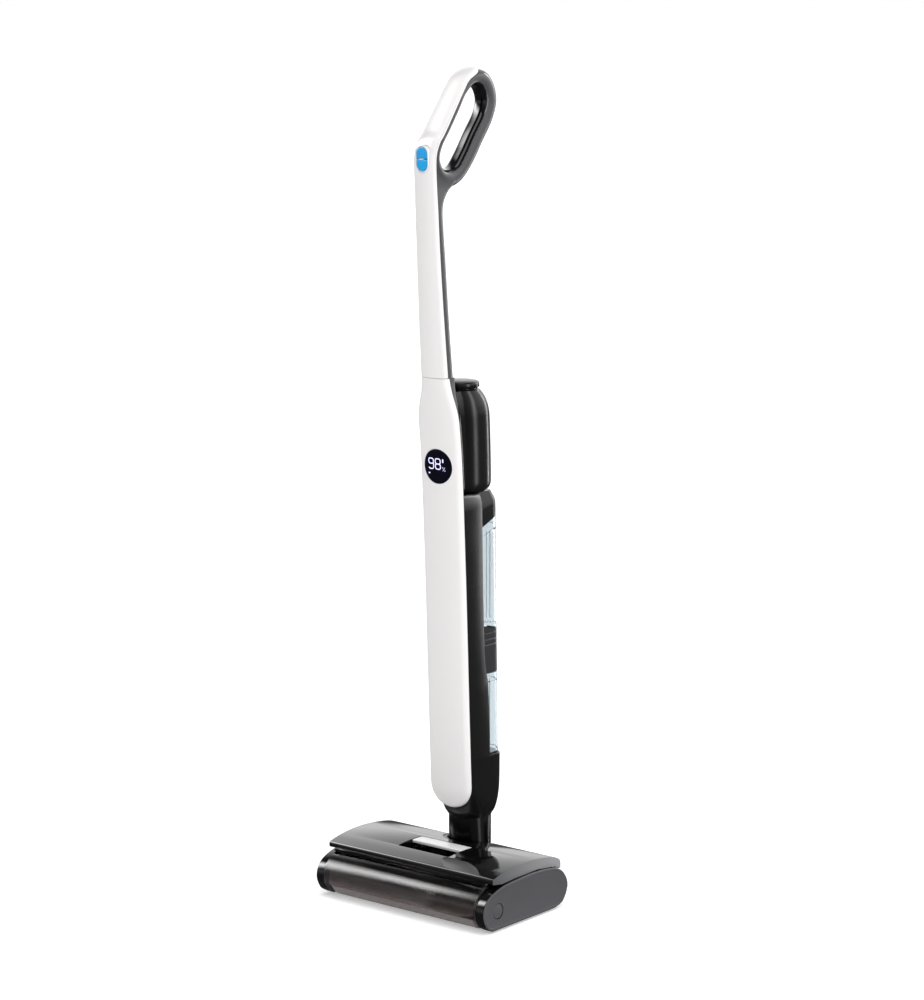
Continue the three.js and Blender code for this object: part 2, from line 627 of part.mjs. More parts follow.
function mainHousing() {
  const half = (z) => BODY_HALF - (z > SHOULDER[0][0] ? along(SHOULDER, z) : 0);
  const rings = (heights, shape) => loft(heights.map((z) => level(shape(z), z)));
  const outer = rings(
    [BAY_BOTTOM, 300, 308, 366, 500, 529, 537, 543, 547, BAY_TOP],
    (z) => section(half(z), coverEdge(z) + GAP, along(BAY_WALL, z), 0.5, 1),
  );
  const front = rings(
    [BAY_BOTTOM + 3, 300, 450, 529, 537, BAY_TOP - 5],
    (z) => section(half(z) - WALL, coverEdge(z) - 4, BULKHEAD_Y - WALL, 0.5, 0.5),
  );
  const bay = rings(
    [BAY_BOTTOM - 1, 529, 537, 543, 547, BAY_TOP + 1],
    (z) => section(Math.min(TANK_HALF + GAP, half(z) - 2.6), BULKHEAD_Y, 75, 0.1, 0.1),
  );
  return cut(outer, front, bay);
}
add('main_housing', mainHousing(), satinBlack);

const tankBack = (z) => along(BODY_BACK, z);
function tankRings(heights, inset, raise = 0) {
  return heights.map((z, i) => {
    const shift = i === 0 ? raise : 0;
    const front = BULKHEAD_Y + GAP + inset;
    return level(section(TANK_HALF - inset, front, tankBack(z) - inset, 3, 17 - inset), z + shift);
  });
}

function tankShell(bottom, top) {
  const outer = loft(tankRings([bottom, top], 0));
  const inner = loft(tankRings([bottom, top + 1], 2, 2.4));
  return cut(outer, inner);
}

add('dirty_tank', tankShell(BAY_BOTTOM + GAP, TANK_SPLIT.lower), clear);
add('clean_tank', tankShell(TANK_SPLIT.middle + GAP, TANK_SPLIT.upper), clear);

const latchFace = tankBack(330) - 0.4; // outside of the closed latch
function dirtyTankLid() {
  const bottom = TANK_SPLIT.lower + GAP;
  const block = loft(tankRings([bottom, TANK_SPLIT.middle], 0));
  const hollow = loft(tankRings([bottom - 1, TANK_SPLIT.middle - 12], 3));
  const pipe = rod('z', PIPE.radius, PIPE.bottom, TANK_SPLIT.middle - 10, 0, PIPE.y, 20);
  const foot = rod('z', PIPE.radius + 3, PIPE.bottom - 3, PIPE.bottom, 0, PIPE.y, 20);
  const bore = rod('z', PIPE.radius - 2, PIPE.bottom - 4, TANK_SPLIT.middle - 11, 0, PIPE.y, 20);
  const latchWell = box(-15.3, 15.3, latchFace - 12, latchFace - 1, 308, 343.2);
  const latchSeat = box(-13.3, 13.3, latchFace - 10, 110, 310, 341.2);
  return cut(join(cut(block, hollow), pipe, foot, latchWell), bore, latchSeat);
}
add('dirty_tank_lid', dirtyTankLid(), gripGrey);
add('tank_latch', box(-13, 13, latchFace - 6.4, latchFace, 310.4, 340.8), darkGrey);
const floatRing = [15, PIPE.radius + 0.6, PIPE.bottom + GAP, PIPE.bottom + 18];
add('float', ringRod('z', ...floatRing, 0, PIPE.y, 20), liner);

function cleanTankLid() {
  const bottom = TANK_SPLIT.upper + GAP;
  const rows = [[bottom, 0], [526, 0], [533, 0.9], [539, 2.6], [544, 4.6], [BAY_TOP - GAP, 6.4]];
  const block = loft(rows.flatMap(([z, inset]) => tankRings([z], inset)));
  const hollow = loft(tankRings([bottom - 1, 524.5], 3));
  const fillHole = rod('z', 9, 500, 560, 0, 66, 24);
  return cut(block, hollow, fillHole);
}
add('clean_tank_lid', cleanTankLid(), satinBlack);
const valveProfile = [[0, 520.5], [12, 520.5], [12, 524], [8.6, 524.2], [8.6, 548.5], [0, 548.5]];
add('clean_tank_valve', turned(valveProfile, 0, 66, 24), rubber);

// ---- Stick: motor pod -----------------------------------------------------------------------------
// A round barrel behind a narrower neck, which spreads into a flange under the cover.
function podSection(half, front, back, inset) {
  const middle = back - half;
  const start = 0.78 * Math.asin(Math.min(0.9, (middle - front - 10) / half));
  const barrel = half - inset;
  const neckX = barrel * Math.cos(start);
  const neckY = middle - barrel * Math.sin(start);
  const flange = half - 0.6 - inset;
  const face = inset ? front - 6 : front;
  const right = [
    [flange, face], [flange, front + 3.8 - inset],
    [neckX - 0.4, front + 7.5 - inset], [neckX - 0.2, neckY - 2],
  ];
  for (let step = 0; step < 10; step += 1) {
    const angle = -start + ((Math.PI / 2 + start) * step) / 10;
    right.push([barrel * Math.cos(angle), middle + barrel * Math.sin(angle)]);
  }
  const left = right.map(([x, y]) => [-x, y]).reverse();
  return [...right, [0, middle + barrel], ...left];
}

function podRings(inset) {
  const rows = [
    [BAY_TOP + GAP, 26, 76], [553, 29.5, 81], [557, 32, 85], [564, 33, 87],
    [DISPLAY.z, 33, 86.6], [620, 33, 85.6], [652, 33, 83.8], [664, 32, 81.4],
    [674, 30, 77.4], [681, 27.6, 72.6], [POD.top, 25.4, 68],
  ];
  return rows.map(([z, half, back]) => {
    const width = Math.min(half, along(HALF_WIDTH, z) + 3);
    return level(podSection(width, coverEdge(z) + GAP, back, inset), z);
  });
}

function podHousing() {
  const inner = podRings(WALL);
  const top = inner.length - 1;
  inner[0] = inner[0].map((point) => point.clone().setZ(BAY_TOP + 3));
  inner[1] = inner[1].map((point) => point.clone().setZ(BAY_TOP + 4.5));
  inner[top] = inner[top].map((point) => point.clone().setZ(POD.top - 2.4));
  const mouth = rod('z', 20, POD.top - 6, POD.top + 5, 0, POD.lidY, 32);
  const inlet = rod('z', 10, BAY_TOP - 2, BAY_TOP + 8, 0, POD.motorY, 24);
  return cut(loft(podRings(0)), loft(inner), mouth, handleFoot(GAP), inlet);
}

// The handle's lower end: a tube whose side strips run down beside the front cover.
function handleFoot(margin) {
  const rows = [[652, 0.8], [664, 3.6], [676, 6.4], [688, 9.4], [697, 11.8], [COVER_TOP, 14.4]];
  const rings = rows.map(([z, depth]) => {
    const edge = coverEdge(z) + GAP;
    const half = along(HALF_WIDTH, z) + margin - 0.4;
    return level(section(half, edge - margin, edge + depth + margin, 0.3, 0.4 + depth / 3), z);
  });
  return loft(rings);
}
add('pod_housing', podHousing(), satinBlack);

const capProfile = [
  [0, POD.top - 6], [17, POD.top - 6], [19.4, POD.top - 3], [19.4, POD.top + GAP],
  [POD.lidRadius - 2.2, POD.top + GAP], [POD.lidRadius - 2.2, POD.top + 2.6], [POD.lidRadius, POD.top + 4],
  [POD.lidRadius, POD.lidTop - 4.4], [POD.lidRadius - 2.4, POD.lidTop - 1.6], [0, POD.lidTop],
];
add('filter_cap', turned(capProfile, 0, POD.lidY, 28), satinBlack);
add('exhaust_filter', ringRod('z', 18, 9, 661, POD.top - 6 - GAP, 0, POD.lidY, 28), filterWhite);
add('suction_motor', rod('z', 24, 590, 650, 0, POD.motorY, 32), steel);
const impellerHub = rod('z', 7, 564, 588, 0, POD.motorY, 20);
const impellerPlate = rod('z', 23, 564, 566.5, 0, POD.motorY, 32);
const blades = Array.from({ length: 8 }, (_, blade) => {
  const vane = box(6, 22, -0.8, 0.8, 566, 580);
  return at(vane.rotateZ((blade * Math.PI) / 4), 0, POD.motorY, 0);
});
add('fan_impeller', join(impellerHub, impellerPlate, ...blades), liner);

// ---- Stick: electronics -----------------------------------------------------------------------------
const cellRadius = 9.2;
let cellNumber = 1;
for (const z of [368, 436]) {
  for (const x of [-10, 10]) {
    add(`battery_cell_${cellNumber}`, rod('z', cellRadius, z, z + 65, x, 29.6, 24), cellBlue);
    cellNumber += 1;
  }
}
const trayBody = box(-21.5, 21.5, 18.5, 39.3, 363, 367.6);
const trayBack = box(-21.5, 21.5, 38.9, 39.5, 363, 504);
add('battery_tray', join(trayBody, trayBack), liner);

const pumpBody = rod('z', 7.6, 212, 252, 0, 31.4, 24);
const pumpHead = box(-10, 10, 23.6, 39, 200, 212.5);
add('water_pump', join(pumpBody, pumpHead), darkGrey);
add('control_board', box(-24, 24, 30, 31.6, 268, 340), boardGreen);

const lensFront = along(FRONT_FACE, DISPLAY.z);
add('display_lens', rod('y', DISPLAY.radius, lensFront - 0.4, lensFront + 3, 0, DISPLAY.z, 36), glossBlack);
const displayBoard = box(-20, 20, lensFront + 7.4, lensFront + 9, DISPLAY.z - 24, DISPLAY.z + 24);
add('display_board', displayBoard, boardGreen);

// ---- Handle -----------------------------------------------------------------------------------------
const lean = rad(LOOP.lean);
// Point of the loop's own frame: across (towards the back) and up (along its lean), as (y, z).
function loopPoint(across, up) {
  const y = LOOP.y + up * Math.sin(lean) + across * Math.cos(lean);
  const z = LOOP.z + up * Math.cos(lean) - across * Math.sin(lean);
  return new THREE.Vector2(y, z);
}

// The loop's centre line and its half thickness and half width, in the loop's own frame.
const loopLine = [
  [-32, -8, 8, 15], [-32, 15, 8, 15.2], [-32, 48, 8, 15], [-31.6, 76, 8, 14.4], [-22.6, 101, 10, 13.8],
  [-1.7, 112, 13.6, 13], [20.9, 102.7, 14.6, 12.6], [30.3, 80, 13.6, 12.5], [30.3, 45, 13.6, 12.5],
  [30.3, 15, 13.4, 12.5], [26.6, -12, 12.5, 12.6], [15, -29, 12, 13],
  [-5, -36, 10, 14], [-25, -27, 8.4, 15],
];
function gripLoop() {
  const curve = (column) => new THREE.CatmullRomCurve3(
    loopLine.map((row) => new THREE.Vector3(row[column], row[column + 1], 0)), true,
  );
  const middle = curve(0);
  const sizes = curve(2);
  const steps = 32;
  const rings = Array.from({ length: steps }, (_, step) => {
    const centre = middle.getPoint(step / steps);
    const tangent = middle.getTangent(step / steps);
    const size = sizes.getPoint(step / steps);
    return Array.from({ length: 12 }, (unused, point) => {
      const angle = (-2 * Math.PI * point) / 12;
      const side = size.y * Math.sign(Math.cos(angle)) * Math.abs(Math.cos(angle)) ** 0.8;
      const out = size.x * Math.sign(Math.sin(angle)) * Math.abs(Math.sin(angle)) ** 0.8;
      const spot = loopPoint(centre.x - tangent.y * out, centre.y + tangent.x * out);
      return new THREE.Vector3(side, spot.x, spot.y);
    });
  });
  return loft(rings, true);
}

// Front face of the handle's cover: up the tube, round the bend and over the top of the loop.
const tubeHeights = [COVER_TOP + GAP, 779, 858, 935, 988];
const topCentre = (LOOP.back - LOOP.front) / 2;
const topRadius = (LOOP.back + LOOP.front) / 2;
const overTop = [12, 28, 44, 58, 68].map((degrees) => {
  const angle = rad(degrees);
  return loopPoint(topCentre - topRadius * Math.cos(angle), LOOP.length + topRadius * Math.sin(angle));
});
const facePoints = [
  ...tubeHeights.map((z) => new THREE.Vector2(along(FRONT_FACE, z), z)),
  loopPoint(-LOOP.front - 1, -13), loopPoint(-LOOP.front, 6), loopPoint(-LOOP.front, 40),
  loopPoint(-LOOP.front, LOOP.length - 8), ...overTop,
];
const faceWidths = [21.4, 20.1, 18.6, 18, 17.7, 17.6, 17.4, 17, 16.4, 15.8, 14.6, 12.6, 9, 3];

function handleCoverSolid(margin) {
  const path = new THREE.SplineCurve(facePoints);
  const straight = facePoints.length - overTop.length;
  const rings = facePoints.map((point, i) => {
    const tangent = path.getTangent(i / (facePoints.length - 1));
    const inward = new THREE.Vector2(tangent.y, -tangent.x);
    const half = faceWidths[i] + margin;
    const depth = HANDLE_COVER_DEPTH - 0.9 * Math.max(0, i - straight) + margin;
    const crown = CROWN * Math.min(1, half / 16);
    const radius = Math.min(3.2, half * 0.4);
    return section(half, -margin, depth, radius, 0.2, 3, crown).map(([x, d]) => {
      return new THREE.Vector3(x, point.x + inward.x * d, point.y + inward.y * d);
    });
  });
  return loft(rings);
}

const keypadFace = along(FRONT_FACE, KEYPAD.z);
function keypad(shape, from, to) {
  const slab = acrossY(shape, from, to, 10);
  slab.translate(0, 0, -KEYPAD.z).rotateX(rad(KEYPAD.tilt));
  return at(slab, 0, keypadFace, KEYPAD.z);
}

function handleShell() {
  const edge = (z) => along(FRONT_FACE, z) + HANDLE_COVER_DEPTH;
  const tubeRing = (z, inset) => {
    const half = along(HALF_WIDTH, z) - 0.4 - inset;
    const front = edge(z) - 2 - (inset ? 6 : 0);
    const back = along(TUBE_BACK, z) - inset;
    return level(section(half, front, back, 0.5, Math.min(11, half - 1) - inset), z);
  };
  const heights = [COVER_TOP - 4, 779, 858, 915, 932, 945, 956, 966, 976, 990];
  const outer = loft(heights.map((z) => tubeRing(z, 0)));
  const inner = loft([COVER_TOP - 2, 779, 858, 915, 932].map((z) => tubeRing(z, WALL)));
  const boardRoom = keypad(pill(0, KEYPAD.z, 12, 20), 0, 13);
  const seat = frontCoverSolid(GAP, COVER_DEPTH + GAP);
  return cut(join(outer, gripLoop(), handleFoot(0)), inner, handleCoverSolid(GAP), boardRoom, seat);
}
add('handle_shell', handleShell(), gripGrey);

const bezelOutline = pill(0, KEYPAD.z, KEYPAD.halfWidth + 2, KEYPAD.halfHeight + 2);
const bezelHole = pill(0, KEYPAD.z, KEYPAD.halfWidth + 0.4, KEYPAD.halfHeight + 0.4);
const bezelSeat = pill(0, KEYPAD.z, KEYPAD.halfWidth + 2 + GAP, KEYPAD.halfHeight + 2 + GAP);
add('handle_cover', cut(handleCoverSolid(0), keypad(bezelSeat, -12, 20)), white);
add('button_bezel', cut(keypad(bezelOutline, -0.6, 5), keypad(bezelHole, -8, 12)), white);

const keyOutline = pill(0, KEYPAD.z, KEYPAD.halfWidth, KEYPAD.halfHeight);
function halfKey(sign) {
  const edges = [KEYPAD.z + sign * 0.5, KEYPAD.z + sign * 30].sort((a, b) => a - b);
  const half = box(-20, 20, -90, 20, edges[0], edges[1]);
  return common(keypad(keyOutline, -1.2, 3), half);
}
add('power_button', halfKey(1), blue);
add('mode_button', halfKey(-1), blue);
add('button_board', keypad(pill(0, KEYPAD.z, 8.4, 16), 7.4, 9), boardGreen);
add('charge_socket', ringRod('y', SOCKET.radius, 2.4, 80, SOCKET.face, SOCKET.x, SOCKET.z, 20), rubber);

export default scrubber;
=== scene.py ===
# Looks of a cordless wet and dry floor scrubber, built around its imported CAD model.
# Shapes are worked out in millimetres, in a frame whose y starts at the middle of the head; to_frame()
# turns them into the metres of the CAD frame.
import json
import math

import bmesh
import bpy
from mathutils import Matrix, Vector, noise


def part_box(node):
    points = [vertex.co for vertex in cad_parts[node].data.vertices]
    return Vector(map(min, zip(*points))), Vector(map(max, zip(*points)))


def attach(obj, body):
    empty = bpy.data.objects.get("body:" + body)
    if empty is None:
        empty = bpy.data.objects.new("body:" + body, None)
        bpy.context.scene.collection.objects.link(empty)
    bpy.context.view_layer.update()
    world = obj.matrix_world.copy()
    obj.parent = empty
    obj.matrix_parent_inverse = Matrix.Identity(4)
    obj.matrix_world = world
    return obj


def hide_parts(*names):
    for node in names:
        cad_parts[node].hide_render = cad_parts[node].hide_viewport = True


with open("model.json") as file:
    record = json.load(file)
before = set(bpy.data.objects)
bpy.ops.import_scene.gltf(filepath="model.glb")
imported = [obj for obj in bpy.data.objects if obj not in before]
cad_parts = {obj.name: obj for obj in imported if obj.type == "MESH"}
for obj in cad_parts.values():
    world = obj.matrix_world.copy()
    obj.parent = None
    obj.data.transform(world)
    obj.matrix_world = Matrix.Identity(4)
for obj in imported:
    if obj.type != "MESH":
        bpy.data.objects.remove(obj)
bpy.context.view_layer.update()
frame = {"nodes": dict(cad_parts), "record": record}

MM = 0.001
MERGE, CAD_MERGE = 1e-6, 2e-6  # metres; points closer together than this become one
NECK_Y = 62.5  # neck axis behind the middle of the head


def middle(node):
    low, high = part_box(node)
    return (low + high) / 2


HEAD_Y = middle("swivel_ring").y / MM - NECK_Y
BODY_OF = {n: b for b, nodes in frame["record"]["behaviour"]["bodies"].items() for n in nodes}
SLOT_OF = {s["node"]: s["material_slot"] for s in frame["record"]["subparts"]}

# ---- Driving dimensions (mm) ----
HEAD_HALF = 145
LID_HALF = 141
BASE_HALF = 129.7
ROLLER_Y, ROLLER_Z, ROLLER_R, ROLLER_HALF = -58, 28, 28, 122
BORE_R = 17.3
COVER_R = 31.6
RECESS_X, RECESS_FRONT, RECESS_BACK, RECESS_FLOOR = 44, -36, 14, 64
BEZEL_R = 36.5
BODY_BOTTOM = 107.8
BAY_BOTTOM, BAY_TOP = 192, 550
# Rear edge of the bay's side walls against height.
BAY_WALL = [(192, 65), (300, 60), (308, 56), (366, 51.5), (500, 48), (550, 47)]
BULKHEAD_Y = 42.3
BODY_HALF = 33.4
TANK_HALF = 30.2
LOWER_TANK_TOP, BAND_TOP, UPPER_TANK_TOP = 304, 366, 503
TANK_FOOT = 359.5  # flat underside of the clean tank
COVER_DEPTH, COVER_WALL, COVER_EDGE_R = 11, 2.2, 5.5
CROWN = 4
COVER_BOTTOM, COVER_TOP = 124, 706
CURL_FROM, CURL_RATE = 152, 0.0055  # the cover's lower end curls back under itself
DISPLAY_Z, DISPLAY_R = 589, 23
LOOP_Y, LOOP_Z, LOOP_LEAN = 15.8, 995, math.radians(36.7)
LOOP_LENGTH, LOOP_FRONT, LOOP_BACK = 82.3, 43.5, 43.8
KEY_Z, KEY_HALF_WIDTH, KEY_HALF_HEIGHT, KEY_TILT = 989, 8.8, 15.5, math.radians(2.5)
KEY_SPLIT, KEY_ROOM = 0.45, 2.3  # half the gap between the keys, and the room left round them
GAP = 0.3

# Outlines of the stick against height, as (z, value) pairs.
FRONT_FACE = [(124, 15.2), (182, 12.5), (589, -5.4), (706, -17.5), (858, -29), (935, -33.2), (1000, -35.6)]
HALF_WIDTH = [
    (124, 33.4), (645, 32.8), (660, 31.4), (674, 28), (688, 24.2), (706, 21.4), (858, 18.6), (1000, 17.6),
]
BODY_BACK = [(107.8, 97.3), (700, 86.4)]
TUBE_BACK = [
    (706, 8.2), (779, 2.4), (858, -3.4), (915, -7.6), (930, -5.4), (941, 1.5), (949, 10), (955, 20),
    (960, 25), (966, 22), (968.5, 8), (971, -8), (979, -15), (990, -20),
]


# ---- Numbers and curves ----
def spline(pairs, at):
    """Smooth value at a place on (place, value) pairs, with no overshoot between them."""
    if at <= pairs[0][0]:
        first, second = pairs[0], pairs[1]
        return first[1] + (second[1] - first[1]) * (at - first[0]) / (second[0] - first[0])
    for i in range(len(pairs) - 1):
        if at <= pairs[i + 1][0]:
            break
    steps = [(b[1] - a[1]) / (b[0] - a[0]) for a, b in zip(pairs, pairs[1:])]

    def slope(k):
        if k == 0 or k == len(pairs) - 1:
            return steps[min(k, len(steps) - 1)]
        before, after = steps[k - 1], steps[k]
        return 2 * before * after / (before + after) if before * after > 0 else 0.0

    (x0, v0), (x1, v1) = pairs[i], pairs[i + 1]
    t = (at - x0) / (x1 - x0)
    h = x1 - x0
    bends = (2 * t**3 - 3 * t**2 + 1) * v0 + (3 * t**2 - 2 * t**3) * v1
    return bends + h * ((t**3 - 2 * t**2 + t) * slope(i) + (t**3 - t**2) * slope(i + 1))


def catmull(points, steps, looped=False):
    """Points along a smooth curve through the given ones."""
    found = []
    count = len(points)
    spans = count if looped else count - 1
    for i in range(spans):
        near = range(i - 1, i + 3)
        a, b, c, d = (points[k % count if looped else min(max(k, 0), count - 1)] for k in near)
        square, cube = 2 * a - 5 * b + 4 * c - d, 3 * b - a - 3 * c + d
        for step in range(steps):
            t = step / steps
            found.append(0.5 * (2 * b + (c - a) * t + square * t**2 + cube * t**3))
    if not looped:
        found.append(points[-1].copy())
    return found


def evenly(low, high, count):
    return [low + (high - low) * i / (count - 1) for i in range(count)]


def arc(centre, radius, degrees):
    angles = [math.radians(a) for a in degrees]
    return [(centre[0] + radius * math.cos(a), centre[1] + radius * math.sin(a)) for a in angles]


def full_turn(sides):
    return [360 * side / sides for side in range(sides)]


def to_frame(point):
    return Vector((point[0] * MM, (point[1] + HEAD_Y) * MM, point[2] * MM))


def ring_at(points, z):
    return [(x, y, z) for x, y in points]


def rounded(half, front, back, front_r, back_r, crown=0.0, steps=8, across=10):
    """A section in (x, y): rounded behind, and in front a bulge that rolls into the sides."""
    points = []
    front_r = min(front_r, half)
    back_r = min(back_r, half - 0.01)
    for middle_x, start in ((half - back_r, 0), (back_r - half, 90)):
        points += arc((middle_x, back - back_r), back_r, evenly(start, start + 90, steps + 1))
    flat = half - front_r
    for step in range(steps + 1):
        angle = math.radians(90 * step / steps)
        x = flat + front_r * math.cos(angle)
        points.append((-x, front + crown * (x / half) ** 2 + front_r * (1 - math.sin(angle))))
    for x in evenly(-flat, flat, across + 1)[1:-1]:
        points.append((x, front + crown * (x / half) ** 2))
    for step in range(steps, -1, -1):
        angle = math.radians(90 * step / steps)
        x = flat + front_r * math.cos(angle)
        points.append((x, front + crown * (x / half) ** 2 + front_r * (1 - math.sin(angle))))
    return points


# ---- Meshes ----
def add_object(name, data):
    obj = bpy.data.objects.new(name, data)
    bpy.context.scene.collection.objects.link(obj)
    return obj


def new_object(name, points, faces):
    mesh = bpy.data.meshes.new(name)
    mesh.from_pydata([to_frame(p) for p in points], [], faces)
    work = bmesh.new()
    work.from_mesh(mesh)
    bmesh.ops.remove_doubles(work, verts=work.verts, dist=MERGE)
    bmesh.ops.dissolve_degenerate(work, edges=work.edges, dist=MERGE)
    bmesh.ops.recalc_face_normals(work, faces=work.faces)
    work.to_mesh(mesh)
    work.free()
    return add_object(name, mesh)


def shade(obj, angle):
    obj.data.polygons.foreach_set("use_smooth", [True] * len(obj.data.polygons))
    obj.data.set_sharp_from_angle(angle=math.radians(angle))
    return obj


def apply_modifiers(obj):
    bpy.context.view_layer.update()
    graph = bpy.context.evaluated_depsgraph_get()
    mesh = bpy.data.meshes.new_from_object(obj.evaluated_get(graph))
    obj.modifiers.clear()
    obj.data = mesh
    return obj


def bevelled(obj, width, angle, segments):
    bevel = obj.modifiers.new("edges", "BEVEL")
    bevel.width = width * MM
    bevel.segments = segments
    bevel.limit_method = "ANGLE"
    bevel.angle_limit = math.radians(angle)
    bevel.use_clamp_overlap = True
    return apply_modifiers(obj)


def carve(obj, *tools, operation="DIFFERENCE"):
    for tool in tools:
        boolean = obj.modifiers.new("cut", "BOOLEAN")
        boolean.operation = operation
        boolean.solver = "EXACT"
        boolean.object = tool
    apply_modifiers(obj)
    for tool in tools:
        bpy.data.objects.remove(tool)
    return obj


def gather(obj, *others):
    """Moves the others' meshes into the first one."""
    work = bmesh.new()
    for source in (obj, *others):
        work.from_mesh(source.data)
    work.to_mesh(obj.data)
    work.free()
    for other in others:
        bpy.data.objects.remove(other)
    return obj


def skin(rings, looped=False, base=0):
    """Faces over rings of equally many points, numbered from a base; looped, it has no ends to close."""
    count = len(rings[0])
    faces = []
    for i in range(len(rings) if looped else len(rings) - 1):
        a, b = base + i * count, base + (i + 1) % len(rings) * count
        faces += [(a + k, a + (k + 1) % count, b + (k + 1) % count, b + k) for k in range(count)]
    if not looped:
        last = base + (len(rings) - 1) * count
        faces.append(tuple(reversed(range(base, base + count))))
        faces.append(tuple(range(last, last + count)))
    return faces


def loft(name, rings, looped=False):
    return new_object(name, [p for ring in rings for p in ring], skin(rings, looped))


def sheet_of(name, rows, thickness):
    """An open skin over rows of equally many points, thickened inwards into a closed shell."""
    count = len(rows[0])
    points = [p for row in rows for p in row]
    faces = []
    for i in range(len(rows) - 1):
        for k in range(count - 1):
            a = i * count + k
            faces.append((a, a + 1, a + count + 1, a + count))
    obj = new_object(name, points, faces)
    wall = obj.modifiers.new("wall", "SOLIDIFY")
    wall.thickness = thickness * MM
    wall.offset = -1
    wall.use_even_offset = True
    return apply_modifiers(obj)


def extruded(name, outline, x0, x1):
    """An outline drawn in (y, z), pulled along x."""
    return loft(name, [[(x, y, z) for y, z in outline] for x in (x0, x1)])


def turned(name, profile, spot, axis="z", sides=96, looped=False):
    """A (radius, height) profile turned about an axis; looped, the profile is closed and makes a ring."""
    rings = []
    for radius, height in profile:
        ring = []
        for u, v in arc(spot, radius, full_turn(sides)):
            ring.append({"x": (height, u, v), "y": (u, height, v), "z": (u, v, height)}[axis])
        rings.append(ring)
    return loft(name, rings, looped)


def refined(node, look=None):
    """A welded, edge-rounded copy of a CAD node, for a piece whose CAD shape is right."""
    obj = add_object(f"{node}_finished", frame["nodes"][node].data.copy())
    work = bmesh.new()
    work.from_mesh(obj.data)
    bmesh.ops.remove_doubles(work, verts=work.verts, dist=CAD_MERGE)
    bmesh.ops.dissolve_limit(
        work, angle_limit=math.radians(0.6), verts=work.verts, edges=work.edges, delimit={"NORMAL"}
    )
    work.to_mesh(obj.data)
    work.free()
    settle(bevelled(obj, 0.35, 34, 2), node, 34, look)


def settle(obj, node, angle=40, look=None):
    """Shades a piece and hangs it on its body, in place of the CAD node that it stands for."""
    shade(obj, angle)
    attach(obj, BODY_OF[node])
    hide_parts(node)
    obj.data.materials.clear()
    obj.data.materials.append(look or LOOKS[SLOT_OF[node]])


def repaint(obj, look, chosen):
    """Gives the faces that a test picks a second look."""
    obj.data.materials.append(look)
    for face in obj.data.polygons:
        if chosen(face):
            face.material_index = 1


# ---- Materials ----
LOOKS = {}


def blank(name):
    """Starts a look, which is kept under its name."""
    LOOKS[name] = bpy.data.materials.new(name)
    LOOKS[name].use_nodes = True
    tree = LOOKS[name].node_tree
    return tree, tree.nodes["Principled BSDF"]


def feed(tree, socket, value):
    """Links a socket to another one, or sets its value."""
    if isinstance(value, bpy.types.NodeSocket):
        tree.links.new(value, socket)
    else:
        socket.default_value = value


def add_node(tree, kind, **values):
    node = tree.nodes.new(f"ShaderNode{kind}")
    for key, value in values.items():
        feed(tree, node.inputs[key.replace("_", " ")], value)
    return node


def set_shader(shader, **values):
    for key, value in values.items():
        shader.inputs[key.replace("_", " ")].default_value = value


def add_noise(tree, scale, detail, stretch=(1, 1, 1)):
    place = add_node(tree, "TexCoord").outputs["Object"]
    mapping = add_node(tree, "Mapping", Vector=place, Scale=stretch)
    pattern = add_node(tree, "TexNoise", Vector=mapping.outputs["Vector"], Scale=scale, Detail=detail)
    return pattern.outputs["Fac"]


def place_parts(tree, kind):
    """Each point's place, and its three parts by name."""
    place = add_node(tree, "TexCoord").outputs[kind]
    return place, add_node(tree, "SeparateXYZ", Vector=place).outputs


def scaled(tree, value, start, end, low, high, way="LINEAR"):
    """A value mapped from one range to another."""
    reach = add_node(tree, "MapRange", Value=value, From_Min=start, From_Max=end, To_Min=low, To_Max=high)
    reach.interpolation_type = way
    return reach.outputs["Result"]


def vary_roughness(tree, shader, source, low, high):
    """Uneven polish; hardly any of a noise pattern lies below 0.1 or above 0.9."""
    feed(tree, shader.inputs["Roughness"], scaled(tree, source, 0.1, 0.9, low, high))


def vary_colour(tree, shader, share, first, second):
    mix = tree.nodes.new("ShaderNodeMix")
    mix.data_type = "RGBA"
    for key, value in (("Factor", share), (6, first), (7, second)):
        feed(tree, mix.inputs[key], (*value, 1) if isinstance(value, tuple) else value)
    tree.links.new(mix.outputs[2], shader.inputs["Base Color"])


def emboss(tree, shader, source, height):
    bump = add_node(tree, "Bump", Strength=1.0, Distance=height * MM, Height=source)
    tree.links.new(bump.outputs["Normal"], shader.inputs["Normal"])


def scale_colour(colour, share):
    return tuple(min(1, part * share) for part in colour)


def moulded(name, colour, roughness, cloud=0.06, grain=0, grain_scale=1400, **values):
    """Injection-moulded plastic: faint flow clouds, uneven polish and, where asked for, fine grain."""
    tree, shader = blank(name)
    clouds = add_noise(tree, scale=22, detail=1)
    vary_colour(tree, shader, clouds, scale_colour(colour, 1 - cloud), scale_colour(colour, 1 + cloud))
    polish = add_noise(tree, scale=30, detail=0)
    vary_roughness(tree, shader, polish, roughness * 0.93, roughness * 1.07)
    if grain:
        emboss(tree, shader, add_noise(tree, grain_scale, detail=2), grain)
    set_shader(shader, **values)


def metal(name, colour, stretch):
    """Metal with fine brushed lines, drawn out by the stretch."""
    tree, shader = blank(name)
    brush = add_noise(tree, 420, 4, stretch)
    vary_colour(tree, shader, brush, scale_colour(colour, 0.8), colour)
    vary_roughness(tree, shader, brush, low=0.24, high=0.375)
    emboss(tree, shader, brush, height=0.03)
    set_shader(shader, Metallic=1.0)


